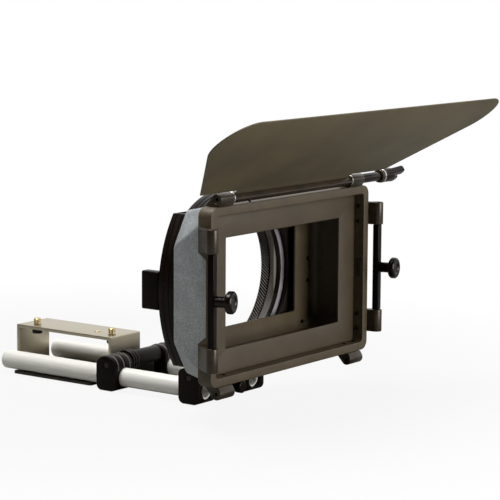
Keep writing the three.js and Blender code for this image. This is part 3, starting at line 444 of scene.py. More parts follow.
def dress(node, shape, finish, sharp=32):
    # The piece that stands for one CAD node, from a shape or from an object, named after the node
    piece = shape if isinstance(shape, bpy.types.Object) else toObject(nameOf(node), shape)
    return finishPiece(piece, finish, bodyOf[node], [node], sharp=sharp)


def dressNode(node, finish, edge):
    # A finer copy of a CAD node: merged, its flat faces joined and its edges softened
    shape = bmesh.new()
    shape.from_mesh(frame["nodes"][node].data)
    bmesh.ops.remove_doubles(shape, verts=shape.verts, dist=1e-6)
    bmesh.ops.dissolve_limit(shape, angle_limit=math.radians(1), verts=shape.verts, edges=shape.edges)
    mesh = bpy.data.meshes.new(node)
    shape.to_mesh(mesh)
    shape.free()
    piece = toObject(nameOf(node), mesh)
    if edge:
        softenEdges(piece, edge)
    return dress(node, piece, finish)


# Geometry Nodes for what repeats

def inMetres(label, value):
    # Counts, shares and angles stay as they are; lengths are given in millimetres
    return value if isinstance(value, int) or label in ("Rise", "Lean") else value * millimetre


def startTree(name, numbers):
    tree = bpy.data.node_groups.new(name, "GeometryNodeTree")
    tree.interface.new_socket("Geometry", in_out="INPUT", socket_type="NodeSocketGeometry")
    for label, value in numbers.items():
        kind = "NodeSocketInt" if isinstance(value, int) else "NodeSocketFloat"
        socket = tree.interface.new_socket(label, in_out="INPUT", socket_type=kind)
        socket.default_value = inMetres(label, value)
    tree.interface.new_socket("Finish", in_out="INPUT", socket_type="NodeSocketMaterial")
    tree.interface.new_socket("Geometry", in_out="OUTPUT", socket_type="NodeSocketGeometry")
    return tree, addNode(tree, "NodeGroupInput").outputs


def endTree(tree, geometry, given):
    real = addNode(tree, "GeometryNodeRealizeInstances", {"Geometry": geometry})
    dressed = addNode(tree, "GeometryNodeSetMaterial", {"Geometry": real, "Material": given["Finish"]})
    addNode(tree, "NodeGroupOutput", {"Geometry": dressed})
    return tree


def raised(tree, mesh, height):
    # Lifts a mesh by a height
    shift = addNode(tree, "ShaderNodeCombineXYZ", {"Z": height})
    return addNode(tree, "GeometryNodeTransform", {"Geometry": mesh, "Translation": shift})


def placeOnPoints(tree, given, item):
    # One copy of the item on each point, standing along the point's facing
    facing = addNode(tree, "GeometryNodeInputNamedAttribute", {"Name": "facing"}, data_type="FLOAT_VECTOR")
    facing = {"Vector": facing.outputs["Attribute"]}
    turn = addNode(tree, "FunctionNodeAlignRotationToVector", facing, axis="Z")
    points = {"Points": given["Geometry"], "Instance": item, "Rotation": turn}
    return addNode(tree, "GeometryNodeInstanceOnPoints", points)


screwHeads = {
    "cap": {"Head Radius": 2.2, "Head Height": 1.5, "Chamfer": 0.3,
            "Socket Radius": 1.2, "Socket Depth": 0.9},
    "tub": {"Head Radius": 1.5, "Head Height": 0.8, "Chamfer": 0.25,
            "Socket Radius": 0.75, "Socket Depth": 0.5},
    "ramp": {"Head Radius": 1.1, "Head Height": 0.95, "Socket Radius": 0.6},
    "tip": {"Head Radius": 1.7, "Head Height": 0.9, "Socket Radius": 0.7},
    "clamp": {"Head Radius": 2.7, "Head Height": 1.5, "Socket Radius": 1.4},
}


def socketScrewTree():
    # Cap screw heads: a cylinder with a chamfer and a hexagon socket
    tree, given = startTree("socketScrews", screwHeads["cap"])
    radius, height, chamfer = given["Head Radius"], given["Head Height"], given["Chamfer"]
    bodyHeight = addNode(tree, "ShaderNodeMath", {0: height, 1: chamfer}, operation="SUBTRACT")
    topRadius = addNode(tree, "ShaderNodeMath", {0: radius, 1: chamfer}, operation="SUBTRACT")
    bodyMiddle = addNode(tree, "ShaderNodeMath", {0: bodyHeight, 1: 0.5}, operation="MULTIPLY")
    socketHalf = addNode(tree, "ShaderNodeMath", {0: given["Socket Depth"], 1: 0.5}, operation="MULTIPLY")
    socketMiddle = addNode(tree, "ShaderNodeMath", {0: height, 1: socketHalf}, operation="SUBTRACT")
    body = {"Vertices": 28, "Radius": radius, "Depth": bodyHeight}
    body = raised(tree, addNode(tree, "GeometryNodeMeshCylinder", body), bodyMiddle)
    rim = {"Vertices": 28, "Radius Top": topRadius, "Radius Bottom": radius, "Depth": chamfer}
    rim = raised(tree, addNode(tree, "GeometryNodeMeshCone", rim), bodyHeight)
    socket = {"Vertices": 6, "Radius": given["Socket Radius"], "Depth": given["Socket Depth"]}
    socket = raised(tree, addNode(tree, "GeometryNodeMeshCylinder", socket), socketMiddle)
    head = addNode(tree, "GeometryNodeMeshBoolean", {"Mesh 2": body}, operation="UNION")
    tree.links.new(rim.outputs["Geometry"], head.inputs["Mesh 2"])
    cut = addNode(tree, "GeometryNodeMeshBoolean", {"Mesh 1": head, "Mesh 2": socket}, operation="DIFFERENCE")
    return endTree(tree, placeOnPoints(tree, given, cut), given)


def rivetTree():
    # Low domes
    tree, given = startTree("rivets", {"Radius": 1.6, "Rise": 0.45})
    dome = {"Segments": 20, "Rings": 10, "Radius": given["Radius"]}
    dome = addNode(tree, "GeometryNodeMeshUVSphere", dome)
    flat = addNode(tree, "ShaderNodeCombineXYZ", {"X": 1.0, "Y": 1.0, "Z": given["Rise"]})
    dome = addNode(tree, "GeometryNodeTransform", {"Geometry": dome, "Scale": flat})
    return endTree(tree, placeOnPoints(tree, given, dome), given)


def knurlTree():
    # Ridges round a cylinder about Z; a lean turns them into slanted ones
    tree, given = startTree("knurl", {"Count": 60, "Radius": 5.0, "Length": 4.0, "Ridge": 0.3, "Lean": 0.0})
    circle = {"Vertices": given["Count"], "Radius": given["Radius"]}
    circle = addNode(tree, "GeometryNodeMeshCircle", circle)
    ridge = {"Vertices": 4, "Radius": given["Ridge"], "Depth": given["Length"]}
    ridge = addNode(tree, "GeometryNodeMeshCylinder", ridge)
    lean = addNode(tree, "ShaderNodeCombineXYZ", {"X": given["Lean"]})
    ridge = addNode(tree, "GeometryNodeTransform", {"Geometry": ridge, "Rotation": lean})
    index = addNode(tree, "GeometryNodeInputIndex")
    step = addNode(tree, "ShaderNodeMath", {0: 2 * math.pi, 1: given["Count"]}, operation="DIVIDE")
    angle = addNode(tree, "ShaderNodeMath", {0: index, 1: step}, operation="MULTIPLY")
    turn = addNode(tree, "ShaderNodeCombineXYZ", {"Z": angle})
    points = {"Points": circle, "Instance": ridge, "Rotation": turn}
    return endTree(tree, addNode(tree, "GeometryNodeInstanceOnPoints", points), given)


def bakeTree(name, points, tree, values, finish, body, nodes=(), matrix=None):
    # Points are (place, facing) in millimetres; the tree's result becomes a plain mesh
    mesh = bpy.data.meshes.new(name)
    mesh.from_pydata([Vector(place) * millimetre for place, facing in points], [], [])
    attribute = mesh.attributes.new("facing", "FLOAT_VECTOR", "POINT")
    for item, (place, facing) in zip(attribute.data, points):
        item.vector = facing
    piece = toObject(name, mesh)
    modifier = piece.modifiers.new("repeat", "NODES")
    modifier.node_group = tree
    given = {label: inMetres(label, value) for label, value in values.items()}
    given["Finish"] = finishes[finish]
    for item in tree.interface.items_tree:
        if item.item_type == "SOCKET" and item.in_out == "INPUT" and item.name in given:
            modifier[item.identifier] = given[item.name]
    settle(piece)
    if matrix:
        piece.data.transform(matrix)
    return finishPiece(piece, finish, body, nodes)


socketScrews, rivets, knurl = socketScrewTree(), rivetTree(), knurlTree()


def addScrews(name, spots, kind, body="hood", nodes=()):
    bakeTree(name, spots, socketScrews, screwHeads[kind], "screwSteel", body, nodes)


def addKnurl(name, values, place, at, finish, body):
    # A knurled band about an axis along Y
    turn = Matrix.Rotation(-math.pi / 2, 4, "X")
    matrix = Matrix.Translation(Vector(place(0, 0, at)) * millimetre) @ turn
    bakeTree(name, [((0, 0, 0), (0, 0, 1))], knurl, values, finish, body, matrix=matrix)


print("the node trees are made")


# Front frame with its lip, recess and ledge

frontFrame = {"halfWidth": 101.7, "halfHeight": 65.25, "depth": 12, "face": 6.5, "recess": 10.3, "ledge": 4.5,
              "corner": 7, "innerCorner": 3, "edge": 0.7, "tongueGap": 0.3, "tongueFloor": 99.5}
tongue = {"tip": 5, "root": 12, "tipHalf": 28, "rootHalf": 33.2, "inner": 99.8, "outer": 101}
maskCatch = {"depth": 4.5, "width": 4.7, "height": 14, "thickness": 1.7, "inner": 95.0, "edge": 0.3,
             "gap": 0.3, "pocketInner": 94, "pocketDeeper": 1.5}


def tongueOutline(grow, tip, root):
    size = Sizes(**tongue)
    slope = (size.rootHalf - size.tipHalf) / (size.root - size.tip)
    rootHalf = size.rootHalf + grow + slope * (root - size.root)
    tipHalf = size.tipHalf + grow
    return [(tip, -tipHalf), (root, -rootHalf), (root, rootHalf), (tip, tipHalf)]


def catchOutline(gap):
    # Fully round at both ends, less a hair, so that no two points meet
    size = Sizes(**maskCatch)
    deep, high = size.width / 2 + gap, size.height / 2 + gap
    return roundedOutline(size.depth - deep, size.depth + deep, -high, high, deep - 0.01)


def buildFrontFrame():
    size, catch = Sizes(**frontFrame), Sizes(**maskCatch)
    face, ledge = size.face, size.face + size.ledge

    def outlineAt(inset):
        corner = max(size.corner - inset * (size.corner - size.innerCorner) / face, size.innerCorner)
        return centredOutline(size.halfWidth - inset, size.halfHeight - inset, corner, steps=12)

    profile = [(0, 0), (face, 0), (face, size.recess), (ledge, size.recess)]
    profile += [(ledge, size.depth), (0, size.depth)]
    loops = [(outlineAt(inset), w) for inset, w in roundCorners(profile, size.edge)]
    piece = toObject("frontFrame", newSkin(loops))
    recess = tongueOutline(size.tongueGap, tongue["tip"] - size.tongueGap, size.depth + overrun)
    deep = catch.inner + catch.thickness + catch.pocketDeeper
    cutters = []
    for side in (-1, 1):
        cutters.append(sideSlab(recess, side, size.tongueFloor, size.halfWidth + overrun, edge=0))
        cutters.append(sideSlab(catchOutline(catch.gap), side, catch.pocketInner, deep, edge=0))
    combine(piece, cutters)
    dress("front_frame", piece, "frameNylon")


def buildCatches():
    size = Sizes(**maskCatch)
    for side, label in sides:
        shape = sideSlab(catchOutline(0), side, size.inner, size.inner + size.thickness, size.edge)
        dress(f"mask_catch_{label}", shape, "bronzeAnodised")


# Mask plate, thin, with a 16:9 opening and two finger notches in its top edge

maskPlate = {"halfWidth": 94.6, "halfHeight": 58.45, "openWidth": 73, "openHeight": 41.15, "openCorner": 0.8,
             "front": 8.5, "rear": 10, "corner": 3, "edge": 0.25,
             "notchWidth": 8, "notchDepth": 0.9, "notchInset": 12}


def buildMask():
    size = Sizes(**maskPlate)
    steps = 8
    rim = centredOutline(size.halfWidth, size.halfHeight, size.corner, steps)
    top, low = size.halfHeight, size.halfHeight - size.notchDepth
    notches = []
    for side in (1, -1):
        centre = side * (size.halfWidth - size.notchInset)
        right, left = centre + size.notchWidth / 2, centre - size.notchWidth / 2
        notches += [(right, top), (right, low), (left, low), (left, top)]
    after = 2 * (steps + 1)         # the notches follow the points of the two right-hand corners
    rim = rim[:after] + notches + rim[after:]
    opening = centredOutline(size.openWidth, size.openHeight, size.openCorner, steps=4)[::-1]
    dress("mask_plate", newSlab([rim, opening], size.front, size.rear, size.edge), "maskNylon")


# Hood shell, folded from sheet into eight sides, with a tongue at each side

hoodShell = {"front": 12.3, "rear": 35, "wall": 2, "halfWidth": 101, "frontHeight": 65, "rearHeight": 60,
             "frontFold": (88, 52), "rearFold": (86, 35), "fold": 2.6,
             "throat": (87.8, 52.3), "throatCorner": 16, "tabCorner": 1.2, "tabEdge": 0.2}


def octagonOutline(share, inset):
    # The share runs from 0 at the front to 1 at the rear
    size = Sizes(**hoodShell)
    width = size.halfWidth - inset
    height = size.frontHeight + (size.rearHeight - size.frontHeight) * share - inset
    foldWidth, foldHeight = (a + (b - a) * share - inset / 2 for a, b in zip(size.frontFold, size.rearFold))
    right = [(foldWidth, -height), (width, -foldHeight), (width, foldHeight), (foldWidth, height)]
    return roundCorners(right + [(-x, y) for x, y in right[::-1]], size.fold)


def buildHoodShell():
    size = Sizes(**hoodShell)
    front, rear, wall = size.front, size.rear, size.wall
    # The skin outside, softened at both rims: share, inset, depth
    skin = [(0, 0.35, front), (0, 0.1, front + 0.1), (0.02, 0, front + 0.4), (0.95, 0, rear - 1.2),
            (1, 0.15, rear - 0.5), (1, 0.5, rear - 0.15), (1, 1.2, rear)]
    throat = centredOutline(*size.throat, size.throatCorner, steps=9)
    loops = [(octagonOutline(share, inset), w) for share, inset, w in skin]
    loops += [(throat, rear), (throat, rear - wall)]
    loops += [(octagonOutline(1, wall), rear - wall), (octagonOutline(0, wall), front)]
    piece = toObject("hoodShell", newSkin(loops))
    tab = roundCorners(tongueOutline(0, tongue["tip"], front + wall), size.tabCorner, steps=3)
    tabs = [sideSlab(tab, side, tongue["inner"], tongue["outer"], size.tabEdge) for side in (-1, 1)]
    combine(piece, tabs, "UNION")
    dress("hood_shell", piece, "enamel", sharp=26)


# Inner tub: a flange behind the frame, tapering walls, a bend and a rear plate with a 16:9 window

innerTub = {"front": 12.3, "mouth": (91.5, 52), "flange": 4, "flangeDepth": 1.6, "wall": 1.5, "corner": 16,
            "neck": (86, 50.5, 30), "bendStart": (84.2, 50.2, 34), "bendEnd": (77.4, 48, 40),
            "window": (59, 33.75), "windowCorner": 0.6, "windowEdge": 0.3,
            "screws": ((75.3, 6.4), (75.3, -11), (68.5, 43), (68.5, -43))}


def buildInnerTub():
    size = Sizes(**innerTub)
    front, wall, edge, bend = size.front, size.wall, size.windowEdge, 8
    (x0, z0, w0), (x1, z1, w1) = size.bendStart, size.bendEnd
    stations = [(*size.mouth, front), size.neck]
    for i in range(bend + 1):
        angle = math.pi / 2 * i / bend
        share = 1 - math.cos(angle)
        stations.append((x0 + (x1 - x0) * share, z0 + (z1 - z0) * share, w0 + (w1 - w0) * math.sin(angle)))

    def tubOutline(x, z, corner=size.corner):
        return centredOutline(x, z, corner, steps=9)

    last, behind = len(stations) - 1, front + size.flangeDepth
    flange = tubOutline(*(half + size.flange for half in size.mouth))
    outer = [(tubOutline(x + wall, z + wall), w + wall * i / last) for i, (x, z, w) in enumerate(stations)]
    window = tubOutline(*size.window, size.windowCorner)
    wide = tubOutline(*(half + edge for half in size.window), size.windowCorner + edge)
    loops = [(flange, front), (flange, behind), (outer[0][0], behind)] + outer[1:]
    loops += [(window, outer[-1][1]), (window, w1 + edge), (wide, w1)]
    loops += [(tubOutline(x, z), w) for x, z, w in reversed(stations)]
    dress("inner_tub", newSkin(loops), "tubNylon", sharp=40)
    spots = [((side * x, lipY + w1, lensZ + z), (0, -1, 0)) for side in (-1, 1) for x, z in size.screws]
    addScrews("tubScrews", spots, "tub")


# Drum housing: round, flat at the top and bottom, slotted there for the filter tray

drum = {"radius": 100, "flat": 56.5, "wall": 2.5, "front": 35.3, "rear": 50, "rearWall": 1.7, "bore": 62,
        "grooves": (40.4, 45.2), "groove": 0.5, "edge": 0.7, "count": 180,
        "slotHalf": 79.4, "slotFront": 41.5, "slotInner": 53, "slotRearGap": 0.02}
lockBlock = {"left": -100, "right": -92, "low": -13.3, "high": 15, "front": 50.3, "rear": 65.4,
             "corner": 1.5, "edge": 0.6}


def drumOutline(inset):
    # Points at even angles, with the four corners of the flats set exactly
    radius, flat, count = drum["radius"] - inset, drum["flat"] - inset, drum["count"]
    corner = math.asin(flat / radius)
    step = 2 * math.pi / count
    angles = [step * i for i in range(count)]
    for exact in (corner, math.pi - corner, math.pi + corner, 2 * math.pi - corner):
        nearest = min(range(count), key=lambda i: abs(step * i - exact))
        angles[nearest] = exact
    reaches = [min(radius, flat / max(abs(math.sin(angle)), 1e-9)) for angle in angles]
    return [(reach * math.cos(angle), reach * math.sin(angle)) for angle, reach in zip(angles, reaches)]


def buildDrum():
    size = Sizes(**drum)
    edge, front, rear, groove = size.edge, size.front, size.rear, size.groove
    stage = rear - size.rearWall
    soft = edge * 0.3           # where the rounded edge is widest
    rows = [(edge, front), (soft, front + soft), (0, front + edge)]
    for at in size.grooves:
        rows += [(0, at - groove), (groove, at), (0, at + groove)]
    rows += [(0, rear - edge), (soft, rear - soft), (edge, rear)]
    bore, hollow = circleOutline(size.bore, size.count), drumOutline(size.wall)
    loops = [(drumOutline(inset), w) for inset, w in rows]
    loops += [(bore, rear), (bore, stage), (hollow, stage), (hollow, front)]
    piece = toObject("drumHousing", newSkin(loops))
    across = (-size.slotHalf, size.slotHalf)
    depth = (lipY + size.slotFront, lipY + stage - size.slotRearGap)
    limits = (size.slotInner, size.flat + overrun)
    slots = [cutBlock(across, depth, sorted(lensZ + sign * limit for limit in limits)) for sign in (-1, 1)]
    combine(piece, slots)
    dress("drum_housing", piece, "drumAnodised")
    size = Sizes(**lockBlock)
    outline = roundedOutline(size.left, size.right, size.low, size.high, size.corner)
    dress("lock_block", newSlab([outline], size.front, size.rear, size.edge), "blackAnodised")
    dressNode("tray_carrier", "drumAnodised", 0.2)
    dressNode("filter_tray", "bronzeAnodised", 0.3)
    dressNode("lock_screw", "screwSteel", 0)


# Lens collar with its lugs, the aperture plate and its retaining ring

lensCollar = {"radius": 65, "bore": 57.4, "stepBore": 58.6, "seat": 61, "front": 50.3, "seatRear": 58.3,
              "stepRear": 64, "rear": 72, "grooves": (61.6, 65.6), "grooveWidth": 0.9, "grooveDepth": 0.8,
              "chamfer": 0.8, "lugReach": 78, "lugHalf": 14, "lugRear": 53.3, "lugCorner": 2.5, "screwUp": 7}
collarKnurl = {"Count": 150, "Radius": 57.4, "Length": 9.5, "Ridge": 0.45, "Lean": math.radians(38)}
collarLiner = {"inner": 58.2, "outer": 58.55, "front": 58.7, "rear": 63.9, "edge": 0.15}
retainingRing = {"radius": 54.4, "outer": 60.7, "front": 51.4, "rear": 54.7, "chamfer": 1.2,
                 "notch": 3, "notchDepth": 1.2, "notchInset": 2}
aperturePlate = {"radius": 60.7, "opening": 56.4, "halfWidth": 51, "front": 55, "rear": 58, "edge": 0.3}


def buildCollar():
    size = Sizes(**lensCollar)
    radius, rear, chamfer, step, seat = size.radius, size.rear, size.chamfer, size.stepBore, size.seat
    outline = [(seat, size.front), (radius, size.front)]
    for groove in size.grooves:
        deep, end = radius - size.grooveDepth, groove + size.grooveWidth
        outline += [(radius, groove), (deep, groove), (deep, end), (radius, end)]
    outline += [(radius, rear - chamfer), (radius - chamfer, rear)]
    outline += [(size.bore, rear), (size.bore, size.stepRear)]
    outline += [(step, size.stepRear), (step, size.seatRear), (seat, size.seatRear)]
    shape = newTurned(outline, alongY(), fine, edge=0.25)
    for side in (-1, 1):
        edges = sorted((side * (seat + overrun), side * size.lugReach))
        lug = roundedOutline(*edges, -size.lugHalf, size.lugHalf, size.lugCorner)
        addSlab(shape, [lug], size.front, size.lugRear, edge=0.5, place=alongY())
    dress("lens_collar", shape, "blackTurned")
    places = [(x, z) for x in (-1, 1) for z in (-size.screwUp, size.screwUp)]
    across = (radius + size.lugReach) / 2
    spots = [((x * across, lipY + size.lugRear, lensZ + z), (0, 1, 0)) for x, z in places]
    addScrews("collarScrews", spots, "cap", "hood", [f"collar_screw_{i}" for i in (1, 2, 3, 4)])
    # The knurl and a thin liner in the step bore take the grey finish: a painted sheen for the lit band
    # inside the black bore
    addKnurl("collarKnurl", collarKnurl, alongY(), (size.stepRear + rear) / 2, "collarGrey", "hood")
    size = Sizes(**collarLiner)
    shape = newTurned(ringOutline(size.inner, size.outer, size.front, size.rear), alongY(), fine, size.edge)
    finishPiece(toObject("collarLiner", shape), "collarGrey", "hood")


def buildAperture():
    size = Sizes(**aperturePlate)
    corner = math.acos(size.halfWidth / size.opening)
    opening = arcOutline(size.opening, corner, math.pi - corner, steps=48)
    opening += [(-x, -z) for x, z in opening]
    outlines = [circleOutline(size.radius, count=128), opening[::-1]]
    dress("aperture_plate", newSlab(outlines, size.front, size.rear, size.edge), "aperturePaint")
    size = Sizes(**retainingRing)
    radius, outer, front, rear, chamfer = size.radius, size.outer, size.front, size.rear, size.chamfer
    outline = [(radius, rear), (radius, front + chamfer), (radius + chamfer, front)]
    outline += [(outer, front), (outer, rear)]
    piece = toObject("retainingRing", newTurned(outline, alongY(), fine, edge=0.2))
    across = (-size.notch / 2, size.notch / 2)
    depth = (lipY + front - overrun, lipY + front + size.notchDepth)
    limits = (radius - overrun, outer - size.notchInset)
    combine(piece, [cutBlock(across, depth, sorted(lensZ + sign * z for z in limits)) for sign in (-1, 1)])
    dress("retaining_ring", piece, "blackTurned")
    # Only its flat front face is bare
    finishPart(piece, "ringFace", lambda polygon: polygon.normal.y < -0.9)


# Hinge knuckles round the frame

knuckle = {"half": 8.75, "radius": 4.4, "bore": 2.8, "offset": 5.3, "under": -5.0, "gap": 0.3, "edge": 0.55,
           "bushing": 1.4, "bushingLength": 2.4, "bushingGrip": 0.1, "screwFromHeel": 2.1, "screwSunk": 0.75,
           "screwHalf": 6, "tipAt": 5.4, "tipSunk": 0.15}
hinge = {"across": 107, "up": 70.55, "top": {"axis": 2.3, "heel": 12.6}, "side": {"axis": -5, "heel": 10.7},
         "topCentre": 84.1, "sideCentre": 42.75}
topHinge = (lipY + hinge["top"]["axis"], lensZ + hinge["up"])
topWasher = {"inner": 2.8, "radius": 4.55, "start": 75.5, "length": 1.1}

# For each knuckle: its kind, its turn about the lens axis, its middle, and the ends that have a bushing
knuckles = {
    "top_knuckle_left": ("top", 0, -hinge["topCentre"], hinge["up"], (-1,)),
    "top_knuckle_right": ("top", 0, hinge["topCentre"], hinge["up"], ()),
    "bottom_knuckle_left": ("top", math.pi, -hinge["topCentre"], -hinge["up"], (-1, 1)),
    "bottom_knuckle_right": ("top", math.pi, hinge["topCentre"], -hinge["up"], (-1, 1)),
    "left_knuckle_upper": ("side", -math.pi / 2, -hinge["across"], hinge["sideCentre"], (1,)),
    "left_knuckle_lower": ("side", -math.pi / 2, -hinge["across"], -hinge["sideCentre"], (-1,)),
    "right_knuckle_upper": ("side", math.pi / 2, hinge["across"], hinge["sideCentre"], (-1,)),
    "right_knuckle_lower": ("side", math.pi / 2, hinge["across"], -hinge["sideCentre"], (1,)),
}


def atKnuckle(kind, turn, x, z):
    # Places (depth, height, along the barrel) for a knuckle turned about the lens axis
    c, s = math.cos(turn), math.sin(turn)
    y = lipY + hinge[kind]["axis"]
    return lambda u, v, w: (x + w * c + v * s, y + u, lensZ + z - w * s + v * c)


def knuckleOutline(kind):
    # The barrel's circle and the foot that it runs down to, with the angle of the ramp's face
    size, row = Sizes(**knuckle), Sizes(**hinge[kind])
    radius, under = size.radius, size.under
    front, rear = size.gap - row.axis, row.heel - row.axis
    first = math.atan2(under, rear) + math.acos(radius / math.hypot(rear, under))
    last = math.atan2(under, front) - math.acos(radius / math.hypot(front, under))
    last += 2 * math.pi if last < first else 0
    return [(front, under), (rear, under)] + arcOutline(radius, first, last, steps=40), first


def buildKnuckles():
    size = Sizes(**knuckle)
    hole = circleOutline(size.bore, count=32)[::-1]
    heads, tips = [], []
    for node, (kind, turn, x, z, ends) in knuckles.items():
        place, row = atKnuckle(kind, turn, x, z), Sizes(**hinge[kind])
        outline, ramp = knuckleOutline(kind)
        shape = newSlab([outline, hole], -size.half, size.half, size.edge, place)
        for end in ends:
            tip = end * (size.half - size.edge)
            edges = sorted((tip, tip - end * size.bushingLength))
            ring = ringOutline(size.bushing, size.bore + size.bushingGrip, *edges)
            addTurned(shape, ring, place, segments=32, edge=0.2)
        dress(node, shape, "bronzeAnodised")
        c, s = math.cos(ramp), math.sin(ramp)
        u = row.heel - row.axis - size.screwFromHeel * s - size.screwSunk * c
        v = size.under + size.screwFromHeel * c - size.screwSunk * s
        origin, face = Vector(place(0, 0, 0)), -size.offset - frontFrame["face"]
        for along in (-size.screwHalf, size.screwHalf):
            heads.append((place(u, v, along), Vector(place(c, s, 0)) - origin))
            tip = place(size.tipAt - row.axis, face + size.tipSunk, along)
            tips.append((tip, Vector(place(0, -1, 0)) - origin))
    addScrews("knuckleScrews", heads, "ramp")
    addScrews("knuckleScrewTips", tips, "tip")
    size = Sizes(**topWasher)
    for side, label in sides:
        edges = sorted((side * size.start, side * (size.start + size.length)))
        shape = newTurned(ringOutline(size.inner, size.radius, *edges), alongX(*topHinge), segments=64)
        finishPiece(toObject("topWasher" + label.capitalize(), shape), "steel", "hood")


# Side bars, turned about their hinge, with their thumbscrews

sideBar = {"halfWidth": 3.5, "halfDepth": 2.5, "corner": 0.8, "half": 33.7, "edge": 0.4, "pin": 2.5,
           "reach": 46.4, "hole": 2.3, "holeReach": 4, "left": 17, "right": 12}
thumbscrew = {"shank": 2, "tip": 1.2, "seat": -2.8, "body": 4, "neck": -11.5, "head": 8.25, "face": -17,
              "chamfer": 1.2, "dish": 4.5, "dishDepth": 1, "edge": 0.45}


def buildSideBars():
    size, screw = Sizes(**sideBar), Sizes(**thumbscrew)
    chamfer, head, neck, face, seat = screw.chamfer, screw.head, screw.neck, screw.face, screw.seat
    floor = (screw.dish - screw.dishDepth, face + screw.dishDepth)
    outline = [(0, screw.tip), (screw.shank, screw.tip), (screw.shank, seat), (screw.body, seat),
               (screw.body, neck), (head - chamfer, neck), (head, neck - chamfer), (head, face + chamfer),
               (head - chamfer, face), (screw.dish, face), floor, (0, floor[1])]
    section = centredOutline(size.halfWidth, size.halfDepth, size.corner, steps=4)
    for side, label in sides:
        turn = math.radians(sideBar[label])
        c, s = math.cos(turn), math.sin(turn)
        x, y = side * hinge["across"], lipY + hinge["side"]["axis"]

        def upright(u, v, w, x=x, y=y, c=c, s=s):
            return (x + u * c - v * s, y + u * s + v * c, lensZ + w)

        def forwards(u, v, w, upright=upright):
            return upright(u, w, v)

        shape = newSlab([section], -size.half, size.half, size.edge, upright)
        piece = toObject(nameOf(f"side_bar_{label}"), shape)
        combine(piece, [cutPin(size.hole, -size.holeReach, size.holeReach, forwards, 32)])
        for end in (-1, 1):
            edges = sorted((end * (size.half - overrun), end * size.reach))
            combine(piece, [newTurned(pinOutline(size.pin, *edges), upright, segments=48)], "UNION")
        dress(f"side_bar_{label}", piece, "blackAnodised")
        shape = newTurned(outline, forwards, segments=72, edge=screw.edge)
        dress(f"thumbscrew_{label}", shape, "blackTurned", sharp=50)


# Top flag on its bar, with the friction pieces and the wing knob

flag = {"tilt": 36, "under": 1.29, "over": 2.29, "lower": 7.69, "tabLower": -2.6, "tabHalf": 73.1,
        "bottomHalf": 118.5, "cornerAcross": 152, "cornerUp": 80.99, "cornerRadius": 24.2, "cornerSteps": 24,
        "edge": 0.3, "rivets": (-66, -33, 0, 33, 66), "rivetUp": -0.4}
flagBar = {"half": 75.05, "ahead": -3.3, "behind": 2.6, "below": -3.4, "above": 0.99, "corner": 0.6,
           "edge": 0.4, "pin": 2.5, "pinSunk": 0.3, "left": -88.05, "right": 133.35, "ringBore": 2.8,
           "hole": 0.9, "holeAt": (-58.5, -1.4), "holeEnds": (-6, -2)}
endRings = [
    ("frictionSleeve", "friction_sleeve", "blackTurned", 3.7, 93.15, 118.15),
    ("frictionWasher", "friction_washer", "steel", 5.6, 120.9, 123.05),
    ("frictionSpacer", None, "bronzeAnodised", 5.1, 118.45, 120.8),
]
wingKnob = {"start": 123.35, "hub": 5.4, "length": 13, "hubChamfer": 1.5, "bore": 2.8, "socket": 10.3,
            "tip": 25, "tipRadius": 4.2, "spread": 8.5, "thickness": 4.6, "edge": 1.2, "lean": 50}


def atFlag(x, y, z):
    c, s = math.cos(math.radians(flag["tilt"])), math.sin(math.radians(flag["tilt"]))
    return (x, topHinge[0] + y * c + z * s, topHinge[1] - y * s + z * c)


def buildFlag():
    size = Sizes(**flag)
    rise, run = size.cornerUp - size.lower, size.cornerAcross - size.bottomHalf
    slant = math.atan2(rise, run) - math.asin(size.cornerRadius / math.hypot(rise, run))
    right = [(size.tabHalf, size.tabLower), (size.tabHalf, size.lower), (size.bottomHalf, size.lower)]
    corner = (size.cornerAcross, size.cornerUp)
    right += arcOutline(size.cornerRadius, slant - math.pi / 2, math.pi / 2, size.cornerSteps, *corner)
    outline = right + [(-x, y) for x, y in right[::-1]]
    shape = newSlab([outline], size.under, size.over, size.edge, lambda u, v, w: atFlag(u, -v, w))
    finishPiece(toObject("topFlag", shape), "flagCoat", "top_flag", ["flag_sheet"])
    up = Vector(atFlag(0, 0, 1)) - Vector(atFlag(0, 0, 0))
    spots = [(atFlag(x, size.rivetUp, size.over), up) for x in size.rivets]
    bakeTree("flagRivets", spots, rivets, {}, "screwSteel", "top_flag")


def buildFlagBar():
    size, axle = Sizes(**flagBar), alongX(*topHinge)
    section = roundedOutline(size.ahead, size.behind, size.below, size.above, size.corner, steps=4)
    shape = newSlab([section], -size.half, size.half, size.edge, lambda u, v, w: atFlag(w, u, v))
    root = size.half - size.pinSunk
    for start, end in ((size.left, -root), (root, size.right)):
        addTurned(shape, pinOutline(size.pin, start, end), axle, segments=48)
    piece = toObject("flagBar", shape)
    x, y = size.holeAt
    hole = pinOutline(size.hole, *size.holeEnds)
    combine(piece, [newTurned(hole, lambda u, v, w: atFlag(x + u, v + y, w), segments=24, edge=0.01)])
    dress("flag_bar", piece, "barAnodised")
    for name, node, finish, radius, start, end in endRings:
        ring = ringOutline(size.ringBore, radius, start, end)
        piece = toObject(name, newTurned(ring, axle, segments=64, edge=0.5))
        finishPiece(piece, finish, "top_flag", [node] if node else ())


